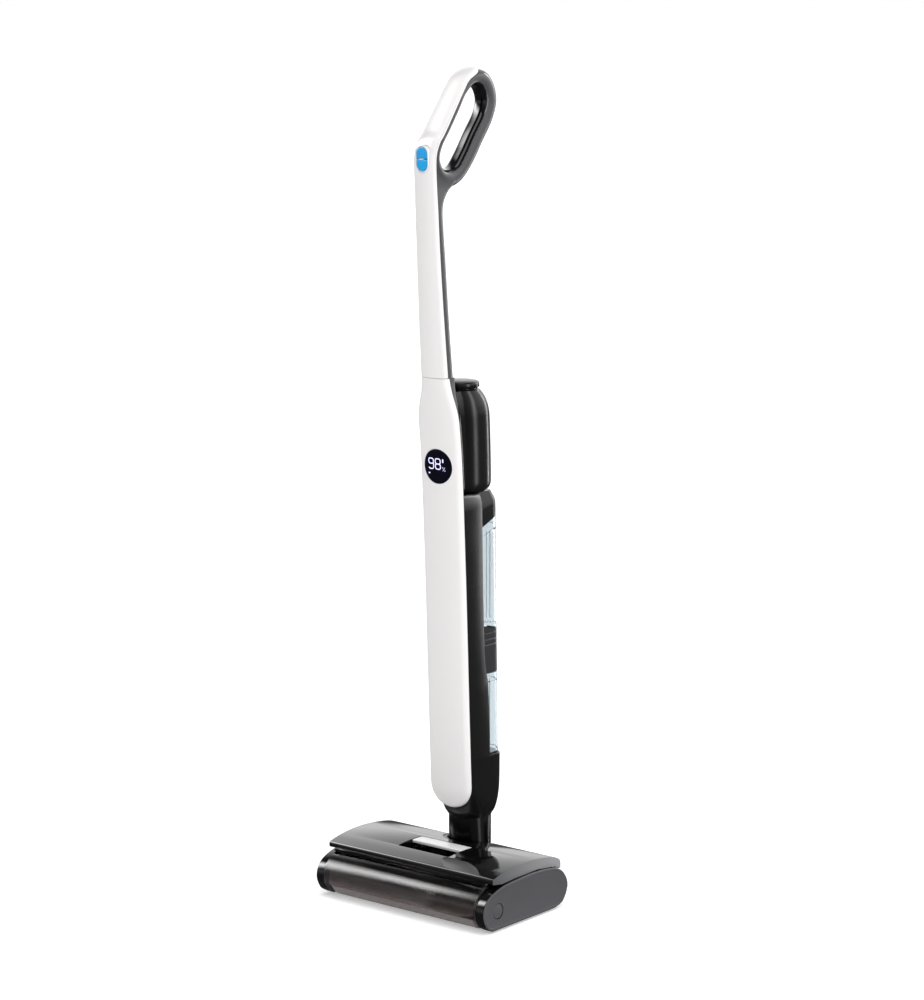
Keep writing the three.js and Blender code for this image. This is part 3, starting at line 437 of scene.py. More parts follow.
def see_through(name, colour, roughness):
    """Clear moulded plastic, with faint flow lines and a little haze."""
    tree, shader = blank(name)
    flow = add_noise(tree, 14, 3, stretch=(1, 1, 0.25))
    vary_colour(tree, shader, flow, scale_colour(colour, 0.97), colour)
    haze = add_noise(tree, scale=60, detail=3)
    vary_roughness(tree, shader, haze, roughness * 0.8, roughness * 1.2)
    emboss(tree, shader, flow, height=0.02)
    set_shader(shader, Transmission_Weight=1.0, IOR=1.45)


def graded(name, axis, span, shares, base=(0, 0, 0)):
    """Fades a look along an axis towards the base colour; the shares of its own colour are for the ends."""
    tree = LOOKS[name].node_tree
    shader = tree.nodes["Principled BSDF"]
    tint = shader.inputs["Base Color"].links[0].from_socket
    along = place_parts(tree, "Object")[1][axis]
    vary_colour(tree, shader, scaled(tree, along, span[0] * MM, span[1] * MM, *shares), base, tint)


def fibres(name, dark, light, scale, height, **values):
    """Matt tufts with painted shade: the colour is darker between the tufts than on top, following their
    bumps.
    """
    tree, shader = blank(name)
    tufts = add_noise(tree, scale, detail=6)
    # painted shade: the low parts of the tufts get the dark colour
    vary_colour(tree, shader, tufts, dark, light)
    emboss(tree, shader, tufts, height)
    set_shader(shader, Roughness=0.95, **values)


def glowing(name, colour, strength):
    tree, shader = blank(name)
    vary_colour(tree, shader, add_noise(tree, 300, 2), colour, scale_colour(colour, 1.04))
    set_shader(shader, Roughness=0.4, Emission_Color=(*colour, 1), Emission_Strength=strength)


moulded("white_shell", (0.745, 0.73, 0.728), 0.3, 0.006, Coat_Weight=0.3, Coat_Roughness=0.12)
moulded("satin_black", (0.0045, 0.0045, 0.005), 0.25, 0.12, Specular_IOR_Level=0.42)
moulded("gloss_black", (0.003, 0.003, 0.0035), 0.07, 0.1, Coat_Weight=0.3, Coat_Roughness=0.03)
moulded("tank_band", (0.02, 0.02, 0.022), 0.36, 0.1, Specular_IOR_Level=0.4)
moulded("deep_black", (0.001, 0.001, 0.0012), 0.2, 0.1, Specular_IOR_Level=0.14)
moulded("display_glass", (0.002, 0.002, 0.007), 0.06, 0.1, Specular_IOR_Level=0.35)
moulded("dark_grey", (0.066, 0.066, 0.073), 0.45, 0.05, Specular_IOR_Level=0.35)
moulded("grip_grey", (0.046, 0.046, 0.05), 0.33, 0.05, Coat_Weight=0.1)
moulded("lid_edge", (0.27, 0.27, 0.28), 0.2, Coat_Weight=0.6)
moulded("sky_blue", (0.014, 0.325, 0.70), 0.2, 0.04, Coat_Weight=0.4)
moulded("black_rubber", (0.012, 0.012, 0.012), 0.7, 0.15, grain=0.03)
moulded("circuit_green", (0.01, 0.12, 0.04), 0.25, 0.25, grain=0.03, grain_scale=600)
moulded("cell_wrap", (0.02, 0.12, 0.26), 0.35, grain=0.01, grain_scale=900, Coat_Weight=0.3)
moulded("light_liner", (0.68, 0.68, 0.66), 0.45, 0.02, grain=0.02, grain_scale=1600)
see_through("smoky_clear", (0.86, 0.80, 0.785), 0.085)
see_through("tank_clear", (0.71, 0.765, 0.79), 0.06)
metal("steel", (0.62, 0.63, 0.65), stretch=(0.05, 1, 1))
metal("brass", (0.70, 0.48, 0.2), stretch=(1, 1, 0.05))
fibres("filter_felt", (0.55, 0.54, 0.5), (0.82, 0.81, 0.76), 900, 0.3)
fibres(
    "microfibre", (0.075, 0.066, 0.064), (0.21, 0.186, 0.182), 520, 0.12,
    Sheen_Weight=0.25, Specular_IOR_Level=0.0,
)
glowing("figure_glow", (0.60, 0.60, 0.86), 0.62)
# Painted shade and painted light: the smoky plastic is painted darker towards the top, standing in for the
# shade under the lid, and the lid's clear edge band is painted lighter towards its rear end, standing in
# for the light it gathers there.
graded("smoky_clear", "Z", span=(14, 52), shares=(0.95, 0.18))
graded("lid_edge", "Y", span=(-70, 70), shares=(0, 1), base=(0.085, 0.085, 0.09))


# ---- White covers ----
def face_y(x, z):
    """Front of the body's white cover at a place (x, z)."""
    half = spline(HALF_WIDTH, z)
    curl = max(0.0, CURL_FROM - z) ** 2 * CURL_RATE
    return spline(FRONT_FACE, z) + CROWN * (x / half) ** 2 + curl


def cover_edge(z):
    return spline(FRONT_FACE, z) + COVER_DEPTH


def edge_drop(inset, radius):
    if inset >= radius:
        return 0.0
    return radius - math.sqrt(radius**2 - (radius - inset) ** 2)


def front_cover():
    round_z = COVER_BOTTOM + BODY_HALF
    top = COVER_TOP - GAP / 2
    insets = [0, 0.08, 0.35, 0.85, 1.5, 2.3, 3.3, 4.4, COVER_EDGE_R]
    heights = [top] + evenly(top - 2, round_z, 90)

    def station(inset):
        left = [(-(spline(HALF_WIDTH, z) - inset), z) for z in heights]
        left += arc((0, round_z), BODY_HALF - inset, evenly(180, 270, 26)[1:])
        left[-1] = (0.0, left[-1][1])
        return left

    columns = [[(x, cover_edge(z) + 1.5 * max(0, 140 - z) / 16, z) for x, z in station(0)]]
    for inset in insets:
        columns.append([(x, face_y(x, z) + edge_drop(inset, COVER_EDGE_R), z) for x, z in station(inset)])
    inner = station(insets[-1])
    for share in evenly(1, 0, 8)[1:]:
        columns.append([(x * share, face_y(x * share, z), z) for x, z in inner])
    mirrored = [[(-x, y, z) for x, y, z in column] for column in reversed(columns[:-1])]
    obj = sheet_of("front_cover_shell", columns + mirrored, COVER_WALL)
    lens_seat = turned("lens_seat", [(DISPLAY_R + GAP, -30), (DISPLAY_R + GAP, 20)], (0, DISPLAY_Z), "y")
    settle(carve(obj, lens_seat), "front_cover")


def loop_point(across, up):
    y = LOOP_Y + up * math.sin(LOOP_LEAN) + across * math.cos(LOOP_LEAN)
    z = LOOP_Z + up * math.cos(LOOP_LEAN) - across * math.sin(LOOP_LEAN)
    return Vector((y, z))


TOP_CENTRE, TOP_RADIUS = (LOOP_BACK - LOOP_FRONT) / 2, (LOOP_BACK + LOOP_FRONT) / 2


def over_top(degrees):
    angle = math.radians(degrees)
    across = TOP_CENTRE - TOP_RADIUS * math.cos(angle)
    return loop_point(across, LOOP_LENGTH + TOP_RADIUS * math.sin(angle))


# The handle's cover up its stem, as (z, half width, depth).
STEM_COVER = [(706.3, 21.4, 8.5), (779, 20.1, 8.5), (858, 18.6, 8.5), (935, 18, 8), (988, 17.7, 5.6)]
# The same in front of the loop, as (across, up, half width, depth).
LOOP_COVER = [
    (-44.5, -13, 17.6, 5.4), (-43.5, 6, 17.4, 5.4), (-43.5, 40, 17, 5.6), (-43.5, 74.3, 16.4, 6.8),
]
# The same over the top of the loop, as (degrees, half width, depth).
TOP_COVER = [(12, 15.9, 8.5), (28, 15, 9.6), (42, 13.2, 9.2), (54, 10.5, 8), (63, 5.5, 6)]
# Front line of the handle's cover, with its half width and depth at each point.
HANDLE_LINE = (
    [(Vector((spline(FRONT_FACE, z), z)), half, depth) for z, half, depth in STEM_COVER]
    + [(loop_point(across, up), half, depth) for across, up, half, depth in LOOP_COVER]
    + [(over_top(degrees), half, depth) for degrees, half, depth in TOP_COVER]
)


def handle_cover():
    line = catmull([p for p, _, _ in HANDLE_LINE], 8)
    sizes = catmull([Vector((half, depth)) for _, half, depth in HANDLE_LINE], 8)
    columns = []
    for i, (spot, (half, depth)) in enumerate(zip(line, sizes)):
        tangent = (line[min(i + 1, len(line) - 1)] - line[max(i - 1, 0)]).normalized()
        inward = Vector((tangent.y, -tangent.x))
        radius = min(3.4, half * 0.45)
        crown = CROWN * min(1, half / 16)
        columns.append([
            (x, spot.x + inward.x * d, spot.y + inward.y * d)
            for x, d in rounded(half, 0, depth, radius, 0.5, crown, 8, 12)
        ])
    obj = loft("handle_cover_bar", columns)
    half_width, half_height = KEY_HALF_WIDTH + KEY_ROOM, KEY_HALF_HEIGHT + KEY_ROOM
    seat = keypad_prism("keypad_seat", half_width, half_height, front=-12, back=20)
    settle(carve(obj, seat), "handle_cover")


# ---- Keys ----
def pill(half_width, half_height, steps=20):
    top = half_height - half_width
    points = arc((0, top), half_width, evenly(0, 180, steps + 1))
    return points + arc((0, -top), half_width, evenly(180, 360, steps + 1))


def on_keypad(x, depth, up):
    """Point on the tilted keypad; depth runs into the handle."""
    y = spline(FRONT_FACE, KEY_Z) + depth * math.cos(KEY_TILT) - up * math.sin(KEY_TILT)
    return (x, y, KEY_Z + up * math.cos(KEY_TILT) + depth * math.sin(KEY_TILT))


def keypad_prism(name, half_width, half_height, front, back):
    outline = pill(half_width, half_height)
    return loft(name, [[on_keypad(x, d, up) for x, up in outline] for d in (front, back)])


def half_key(node, sign):
    """Half of the pill-shaped key, softly domed, with its cut edge along the middle."""
    outline = [(x, sign * max(sign * up, KEY_SPLIT)) for x, up in pill(KEY_HALF_WIDTH, KEY_HALF_HEIGHT)]
    outline = [p for i, p in enumerate(outline) if p != outline[i - 1]]
    centre = sign * KEY_HALF_HEIGHT * 0.45
    dome = ((1, 1.8), (1, 0.1), (0.985, -0.45), (0.94, -0.85), (0.86, -1.1), (0.6, -1.35), (0.2, -1.5))
    rings = []
    for scale, depth in dome:
        rings.append([on_keypad(x * scale, depth, centre + (up - centre) * scale) for x, up in outline])
    settle(loft(f"{node}_cap", rings), node, 50)


def key_mark():
    """The short white dash moulded across the middle of the keys."""
    rings = []
    outline = [(v, u) for u, v in pill(0.55, 3.2, 8)]
    for scale, depth in ((1, 0.3), (1, -1.3), (0.8, -1.55)):
        rings.append([on_keypad(x * scale, depth, up * scale) for x, up in outline])
    obj = shade(loft("key_dash", rings), 50)
    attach(obj, BODY_OF["button_bezel"])
    obj.data.materials.append(LOOKS["white_shell"])


def key_bezel():
    profile = ((2.0, 5), (2.0, -0.2), (1.75, -0.75), (1.2, -0.95), (0.75, -0.75), (0.45, -0.2), (0.45, 5))
    rings = []
    for grow, depth in profile:
        outline = pill(KEY_HALF_WIDTH + grow, KEY_HALF_HEIGHT + grow)
        rings.append([on_keypad(x, depth, up) for x, up in outline])
    settle(loft("button_bezel_ring", rings, looped=True), "button_bezel", 50)


# ---- Display ----
def display_lens():
    rim = ((DISPLAY_R, 4), (DISPLAY_R, -0.05), (22.85, -0.3), (22.5, -0.42))
    profile = rim + ((17, -0.45), (11, -0.45), (5, -0.45))
    rings = []
    for radius, lift in profile:
        circle = arc((0, DISPLAY_Z), radius, full_turn(96))
        rings.append([(x, face_y(x, z) + lift, z) for x, z in circle])
    settle(loft("display_window", rings), "display_lens", 50, LOOKS["display_glass"])


def stroke(start, end, width):
    """Outline of a rounded stroke between two places on the display."""
    a, b = Vector(start), Vector(end)
    along = (b - a).normalized() if (b - a).length > 1e-6 else Vector((1, 0))
    side = Vector((-along.y, along.x))
    points = []
    for centre, facing in ((b, 1), (a, -1)):
        for step in range(7):
            turn = math.radians(-90 + 30 * step)
            points.append(centre + facing * width / 2 * (along * math.cos(turn) + side * math.sin(turn)))
    return points


def figures():
    """A two-figure charge reading with a percent sign, a level bar and a status dot."""
    wide, tall, corner, line = 8.4, 6.9, 2.6, 1.45
    loop = []
    for cu, cv, start in ((1, 1, 0), (0, 1, 90), (0, 0, 180), (1, 0, 270)):
        spot = (corner + cu * (wide - 2 * corner), corner + cv * (tall - 2 * corner))
        loop += arc(spot, corner, range(start, start + 91, 30))
    closed = loop + loop[:1]
    hook = [(u, v) for u, v in loop[8:] if v < corner] + [(wide, corner), (wide, tall)]
    low, high = -3.6, -3.6 + tall
    eight = [[(u, v + low) for u, v in closed], [(u, v + high) for u, v in closed]]
    nine = [[(u, v + low) for u, v in hook], [(u, v + high) for u, v in closed]]
    strokes = []
    for left, paths in ((-14.4, nine), (-2.9, eight)):
        for path in paths:
            for (u0, v0), (u1, v1) in zip(path, path[1:]):
                strokes.append(((left + u0, v0), (left + u1, v1), line))
    strokes += [
        ((9.6, 6.4), (9.6, 9.4), 2.0), ((9.2, -0.6), (9.2, -1.5), 0.9), ((12.4, -4.6), (12.4, -5.5), 0.9),
        ((9.3, -5.2), (12.3, -0.9), 0.6), ((-14.4, -9.6), (-13.6, -9.6), 2.0),
    ]
    points, faces = [], []
    for start, end, width in strokes:
        rings = []
        for lift in (-0.42, -0.55):  # just in front of the glass
            outline = stroke(start, end, width)
            rings.append([(u, face_y(u, DISPLAY_Z + v) + lift, DISPLAY_Z + v) for u, v in outline])
        faces += skin(rings, base=len(points))
        points += rings[0] + rings[1]
    obj = new_object("display_figures", points, faces)
    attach(obj, BODY_OF["display_lens"])
    obj.data.materials.append(LOOKS["figure_glow"])


# ---- Handle ----
LOOP_LINE = [
    (-32, -8, 8, 15.6), (-32, 15, 8, 16), (-32, 48, 8, 15.8), (-31.6, 76, 8, 14.8), (-22.6, 101, 10, 13.8),
    (-1.7, 112, 13.6, 13), (20.9, 102.7, 14.6, 12.6), (30.3, 80, 13.6, 12.5), (30.3, 45, 13.6, 12.5),
    (30.3, 15, 13.4, 12.5), (26.6, -12, 12.5, 12.6), (15, -29, 12, 13), (-5, -36, 10, 14),
    (-25, -27, 8.4, 15),
]


def loop_stations():
    """Places round the hand loop: centre, half depth and half width, and the outward direction."""
    centres = catmull([Vector(row[:2]) for row in LOOP_LINE], 8, looped=True)
    sizes = catmull([Vector(row[2:]) for row in LOOP_LINE], 8, looped=True)
    found = []
    for i, (centre, size) in enumerate(zip(centres, sizes)):
        tangent = (centres[(i + 1) % len(centres)] - centres[i - 1]).normalized()
        found.append((centre, size, Vector((-tangent.y, tangent.x))))
    return found


def squared(turn):
    """A cosine or sine pushed outwards, so that a round section fills its corners."""
    return math.copysign(abs(turn) ** 0.8, turn)


def grip_loop():
    rings = []
    for centre, size, outward in loop_stations():
        ring = []
        for step in range(40):
            angle = -2 * math.pi * step / 40
            spot = loop_point(*(centre + outward * size.x * squared(math.sin(angle))))
            ring.append((size.y * squared(math.cos(angle)), spot.x, spot.y))
        rings.append(ring)
    return loft("grip_loop", rings, looped=True)


def hand_hole():
    """Solid that fills the inside of the hand loop."""
    outline = [tuple(loop_point(*(centre - outward * size.x))) for centre, size, outward in loop_stations()]
    return extruded("hand_hole", outline, -30, 30)


VOXEL, SMOOTHING_STEPS = 0.9, 36
# How much narrower than its cover the tube gets, towards the loop.
TUBE_TAPER = [(700, 0), (900, 0), (935, 2), (955, 4.4), (990, 4.4)]
# How far behind the front face the tube starts, under its cover.
TUBE_FRONT = [(700, 6.5), (930, 6.5), (965, 4.2), (990, 3.6)]


def handle_tube():
    rings = []
    for z in evenly(702, 986, 60):
        half = spline(HALF_WIDTH, max(z, 706)) - 0.4 - spline(TUBE_TAPER, z)
        front = spline(FRONT_FACE, z) + spline(TUBE_FRONT, z)
        back = spline(TUBE_BACK, z)
        rings.append(ring_at(rounded(half, front, back, 0.6, min(11, (back - front) * 0.8), 0, 10), z))
    return loft("handle_tube", rings)


# How deep the handle's foot is behind the cover, against height.
FOOT_DEPTH = [(652, 0.8), (664, 3.6), (676, 6.4), (688, 9.4), (697, 11.8), (706, 14.4)]


def handle_foot():
    rings = []
    for z in evenly(652, 706, 30):
        depth = spline(FOOT_DEPTH, z)
        edge = cover_edge(z) + GAP
        half = spline(HALF_WIDTH, z) - 0.4
        rings.append(ring_at(rounded(half, edge, edge + depth, 0.3, 0.4 + depth / 3), z))
    return loft("handle_foot", rings)


def handle_shell():
    obj = carve(carve(handle_tube(), hand_hole()), grip_loop(), operation="UNION")
    obj.name = "handle_grip"
    voxels = obj.modifiers.new("voxels", "REMESH")
    voxels.mode = "VOXEL"
    voxels.voxel_size = VOXEL * MM
    relax = obj.modifiers.new("relax", "SMOOTH")
    relax.factor = 0.5
    relax.iterations = SMOOTHING_STEPS
    apply_modifiers(obj)
    settle(gather(obj, handle_foot()), "handle_shell", 60)
    # the inside of the hand loop is painted darker, partly as painted shade
    repaint(obj, LOOKS["gloss_black"], is_dark_gloss_face)


def in_loop(y, z):
    """A direction turned into the leaning frame of the hand loop."""
    return Vector((
        y * math.cos(LOOP_LEAN) - z * math.sin(LOOP_LEAN),
        y * math.sin(LOOP_LEAN) + z * math.cos(LOOP_LEAN),
    ))


def is_dark_gloss_face(face):
    """True on the inside of the hand loop and on its crest, past the end of the cover: faces that get the
    darker gloss black. The crest's gloss black is its own; inside the loop the darker colour is partly the
    grip's own gloss and partly painted shade.
    """
    spot = in_loop(face.center.y / MM - HEAD_Y - LOOP_Y, face.center.z / MM - LOOP_Z)
    nearest = Vector((0, min(max(spot.y, 0), LOOP_LENGTH)))
    inward = nearest - spot
    if spot.y < -45 or inward.length < 1e-6:
        return False
    facing = in_loop(face.normal.y, face.normal.z).dot(inward.normalized())
    on_crest = spot.y > LOOP_LENGTH + 8 and -24 < spot.x < 32
    return facing > 0.5 or (on_crest and facing < -0.3)


# ---- Body housings ----
def lower_housing():
    rows = [
        (BODY_BOTTOM, 28.5, 34, 91, 28.4, 28.4),
        (117, 32, 29.5, 94, 28, 26),
        (130, 33, 26.8, 95.8, 22, 22),
        (150, BODY_HALF, cover_edge(150), 96.6, 8, 19),
        (BAY_BOTTOM - GAP, BODY_HALF, cover_edge(178), 96.1, 4, 17),
    ]
    rings = []
    for z in evenly(BODY_BOTTOM, BAY_BOTTOM - GAP, 40):
        half, front, back, front_r, back_r = (
            spline([(row[0], row[k]) for row in rows], z) for k in range(1, 6)
        )
        rings.append(ring_at(rounded(half, front, back, front_r, back_r, 0, 14), z))
    obj = loft("lower_housing_shell", rings)
    socket = turned("socket_hole", [(4.5, 80), (4.5, 110)], (0, 158), "y", 48)
    settle(carve(obj, socket), "lower_housing")


# How far the body's sides draw in towards the groove below the motor pod.
SHOULDER = [(500, 0), (529, 0), (537, 0.7), (543, 2.1), (547, 3.9), (550, 6.4)]


def main_housing():
    """Bulkhead and side walls of the tank bay: a channel that is open behind."""
    wall, inner = 2.6, BULKHEAD_Y - GAP
    rings = []
    for z in evenly(BAY_BOTTOM, 525, 30) + evenly(528, BAY_TOP, 24):
        front = cover_edge(z) + GAP
        half = BODY_HALF - spline(SHOULDER, z)
        lip, rear = 1.1, spline(BAY_WALL, z)
        outline = [
            (half, front), (half, rear - lip), (half - 0.3, rear - 0.35), (half - lip, rear),
            (half - wall, rear), (half - wall, inner),
        ]
        outline = outline + [(-x, y) for x, y in reversed(outline)]
        rings.append(ring_at(outline, z))
    settle(loft("main_housing_shell", rings), "main_housing")


# ---- Tanks ----
BAND_SLOPE, SHOULDER_SLOPE = -0.26, 0.42  # how the windows' edges run up or down towards the back


def tank_back(z):
    return spline(BODY_BACK, z)


def tank_ring(z, inset=0.0, slope=0.0):
    section = rounded(TANK_HALF - inset, BULKHEAD_Y + inset, tank_back(z) - inset, 3, 17 - inset, 0, 14, 6)
    return [(x, y, z + slope * (y - 50)) for x, y in section]


def clear_tank(name, node, bottom, top, low_slope, high_slope, foot=None):
    """A see-through tank, which may stand on a dark foot below its sloping lower edge."""
    heights = evenly(0, 1, 60)
    grooves = (0.055, 0.9)

    def ring_up(low, share, inset):
        return tank_ring(low + (top - low) * share, inset, low_slope * (1 - share) + high_slope * share)

    outer = []
    if foot:
        outer = [(-2, tank_ring(foot, 0.5)), (-1, tank_ring(foot + 0.5))]
    for t in heights + [0.048, 0.055, 0.062, 0.893, 0.9, 0.907]:
        inset = 0.7 * max(0, 1 - min(abs(t - groove) for groove in grooves) / 0.006)
        outer.append((t, ring_up(bottom, t, inset)))
    outer = [ring for _, ring in sorted(outer, key=lambda pair: pair[0])]
    inner = [ring_up(bottom + 2.4, t, 2.0) for t in reversed(heights)]
    obj = loft(name, outer + inner)
    ribs = []
    for side in (-1, 1):
        face = side * TANK_HALF
        x0, x1 = sorted((face - side * 0.7, face + side * 0.5))
        for y, width in ((59, 0.7), (66, 1.2)):
            outline = [(y, bottom + 9), (y + width, bottom + 9), (y + width, top - 6), (y, top - 6)]
            ribs.append(extruded("rib", outline, x0, x1))
    settle(gather(obj, *ribs), node)

    def below_window(face):
        y, z = face.center.y / MM - HEAD_Y, face.center.z / MM
        return z < bottom + low_slope * (y - 50) - 0.01

    if foot:
        repaint(obj, LOOKS["tank_band"], below_window)


def dirty_tank_lid():
    """Grey band between the tanks, with a seat for its press latch."""
    rings = [tank_ring(z, inset) for z, inset in ((LOWER_TANK_TOP + GAP, 0.5), (LOWER_TANK_TOP + 0.8, 0))]
    seams = (343.7, 351)
    for z in evenly(LOWER_TANK_TOP + 2, TANK_FOOT - 1.5, 101):
        rings.append(tank_ring(z, 0.9 * max(0, 1 - min(abs(z - seam) for seam in seams) / 0.9)))
    rings += [tank_ring(TANK_FOOT - GAP - 0.6), tank_ring(TANK_FOOT - GAP, 0.5)]
    obj = loft("dirty_tank_lid_shell", rings)
    low, high = (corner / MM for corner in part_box("tank_latch"))
    front, back, room = low.y - 3.4 - HEAD_Y, 120, 0.4
    bottom, top = low.z - room, high.z + room
    outline = [(front, bottom), (back, bottom), (back, top), (front, top)]
    carve(obj, extruded("latch_seat", outline, low.x - room, high.x + room))
    standpipe = [(7, 213), (12, 213), (12, 216), (9, 216), (9, LOWER_TANK_TOP + 2), (7, LOWER_TANK_TOP + 2)]
    pipe = turned("standpipe", standpipe, (0, 64), "z", 64, looped=True)
    settle(gather(obj, pipe), "dirty_tank_lid", look=LOOKS["tank_band"])


def clean_tank_lid():
    """Black shoulder over the clean water tank, narrowing towards the motor pod."""
    rows = [(508, 0), (526, 0), (533, 0.9), (539, 2.6), (544, 4.6), (549.7, 6.4)]
    rings = []
    for z in evenly(UPPER_TANK_TOP + GAP, BAY_TOP - GAP, 40):
        share = (BAY_TOP - z) / (BAY_TOP - UPPER_TANK_TOP)
        rings.append(tank_ring(z, spline(rows, max(z, 508)), SHOULDER_SLOPE * share))
    settle(loft("clean_tank_lid_shell", rings), "clean_tank_lid")


# ---- Motor pod ----
POD_ROWS = [
    (550.3, 26, 76), (553, 29.5, 81), (557, 32, 85), (564, 33, 87), (589, 33, 86.6), (620, 33, 85.6),
    (652, 33, 83.8), (664, 32, 81.4), (674, 30, 77.4), (681, 27.6, 72.6), (686, 25.4, 68),
]


def pod_section(half, front, back):
    """A round barrel behind a narrower neck that spreads into a flange under the cover."""
    barrel, flange = half, half - 0.6
    middle_y = back - barrel
    start = math.asin(min(0.9, (middle_y - front - 10) / barrel)) * 0.78
    right = [(flange, front), (flange, front + 3), (flange - 0.5, front + 3.8), (flange - 2, front + 5)]
    neck_x, neck_y = barrel * math.cos(start), middle_y - barrel * math.sin(start)
    right += [(neck_x - 0.6, front + 7.5), (neck_x - 0.2, (front + 7.5 + neck_y) / 2)]
    for angle in evenly(-start, math.pi / 2, 40)[:-1]:
        right.append((barrel * math.cos(angle), middle_y + barrel * math.sin(angle)))
    return right + [(0, back)] + [(-x, y) for x, y in reversed(right)]


def pod_housing():
    rings = []
    for z in evenly(550.3, 564, 18) + evenly(568, 652, 24) + evenly(654, 686, 24):
        half = min(spline([(r[0], r[1]) for r in POD_ROWS], z), spline(HALF_WIDTH, z) + 3)
        back = spline([(r[0], r[2]) for r in POD_ROWS], z)
        rings.append(ring_at(pod_section(half, cover_edge(z) + GAP, back), z))
    settle(carve(loft("motor_pod_shell", rings), foot_seat()), "pod_housing")


def foot_seat():
    """Room in the motor pod for the handle's foot."""
    rings = []
    for z in evenly(650, 690, 24):
        back = cover_edge(z) + spline(FOOT_DEPTH[:4], z) + 0.5
        rings.append(ring_at(rounded(spline(HALF_WIDTH, z) + 6, cover_edge(z) - 4, back, 0.3, 0.4), z))
    return loft("foot_seat", rings)


def filter_cap():
    profile = [
        (0.01, 680), (17, 680), (19.4, 683), (19.4, 686.3), (22.3, 686.4), (22.6, 687), (22.6, 688.4),
        (23.4, 689), (24.6, 689.8), (25, 690.6), (25, 694.4), (24.6, 695.6), (23.7, 696.6), (22.4, 697.2),
        (20.9, 697.4), (20.5, 697.0), (20.1, 697.4), (19, 697.8), (10, 698.6), (0.01, 699),
    ]
    settle(turned("filter_cap_turned", profile, (0, 42)), "filter_cap", 50)


# ---- Head ----
def cap_outline(inset=0.0):
    low = 2.4 + inset
    spots = [
        (-68, low), (64, low), (82, 9), (91.7, 28), (84.5, 45.5), (66.8, 56.8), (28.7, 61.8), (-16, 61.2),
        (-54, 57.4), (-80, 46), (-87.9, 28), (-81, 11),
    ]
    centre = Vector((2, 30))
    points = []
    for y, z in spots:
        spot = Vector((y, z))
        if z > low:
            spot += (centre - spot).normalized() * inset
        points.append(spot)
    curve = catmull(points[1:] + [points[0]], 8)
    return [(p.x, max(p.y, low)) for p in curve]


def end_cap(node, side):
    """A cap with a rounded rim round a slightly dished face."""
    stations = [
        (0, 15), (0, 2.6), (0.25, 1.5), (0.8, 0.7), (1.6, 0.2), (2.6, 0), (3.6, 0.05), (4.1, 0.35),
        (4.9, 0.5),
    ]
    rings = []
    for inset, depth in stations:
        x = side * (HEAD_HALF - depth)
        rings.append([(x, y, z) for y, z in cap_outline(inset)])
    obj = loft(f"{node}_shell", rings)
    if side > 0:
        well = [(10.6, HEAD_HALF - 6), (10.6, HEAD_HALF + 2)]
        carve(obj, turned("button_seat", well, (ROLLER_Y, ROLLER_Z), "x", 64))
    settle(obj, node)
    repaint(obj, LOOKS["gloss_black"], lambda face: abs(face.normal.x) < 0.35)


def release_button():
    profile = [
        (0.01, 136), (4, 136), (4, 141), (9.9, 141.4), (9.9, 143.6), (9.7, 144.1), (9.2, 144.35),
        (8.2, 144.4), (7.7, 144.1), (7.2, 144.3), (3, 144.5), (0.01, 144.55),
    ]
    obj = turned("release_button_turned", profile, (ROLLER_Y, ROLLER_Z), "x", 64)
    settle(obj, "roller_release_button", 50)


LID_TOP = [
    (-64.2, 63.6), (-64.6, 69.2), (-62, 71.2), (-43, 75.4), (-19, 78.2), (5, 78.8), (30, 77.2), (55, 73.8),
    (70, 69.8), (77, 66), (79, 61), (79.4, 54),
]
LID_UNDER = [(75, 54), (67, 58.6), (29, 63), (-16, 62.4), (-46, 60.6)]


def head_lid():
    top = catmull([Vector(p) for p in LID_TOP[2:10]], 8)
    outline = [LID_TOP[0], (-64.7, 67.2), (-64.4, 69.4), (-63.4, 70.7)]
    outline += [(p.x, p.y) for p in top]
    outline += [(78.6, 63.6), (79.3, 60), LID_TOP[-1]] + LID_UNDER
    obj = extruded("head_lid_shell", outline, -LID_HALF, LID_HALF)
    recess = [
        (RECESS_FRONT, RECESS_FLOOR), (RECESS_BACK, RECESS_FLOOR), (RECESS_BACK, 95), (RECESS_FRONT, 95),
    ]
    pocket = bevelled(extruded("recess", recess, -RECESS_X, RECESS_X), 2.4, 60, 5)
    slot_edge = arc((0, NECK_Y), BEZEL_R, evenly(180, 360, 49))
    slot_edge += [(BEZEL_R, 100), (-BEZEL_R, 100)]
    slot = loft("neck_slot", [ring_at(slot_edge, 30), ring_at(slot_edge, 95)])
    carve(obj, pocket, slot)
    bevelled(obj, 0.8, 50, 3)
    settle(obj, "head_lid", 30)
    repaint(obj, LOOKS["lid_edge"], is_lid_end)


def is_lid_end(face):
    return abs(face.normal.x) > 0.9 and abs(face.center.x) > (LID_HALF - 1) * MM


def roller_cover():
    inner = COVER_R - 1.6
    outline = arc((ROLLER_Y, ROLLER_Z), inner, evenly(92, 195.6, 70))
    outline += arc((ROLLER_Y, ROLLER_Z), COVER_R, evenly(195.6, 102, 70))
    outline += [(-66.8, 60.4), (-66.8, 63.2), (-60.4, 62), (-60.4, 59.3), (-59.2, 59.0)]
    obj = extruded("roller_cover_shell", outline, -BASE_HALF, BASE_HALF)
    settle(bevelled(obj, 0.3, 60, 2), "roller_cover")


PILE_SIDES, PILE_ROWS = 300, 561
TUFT, FLECK = 0.42, 0.3  # how far coarse and fine tufts stand out
SEAM_TURNS, SEAM_DEPTH, SEAM_WIDTH = 3, 0.5, 0.012


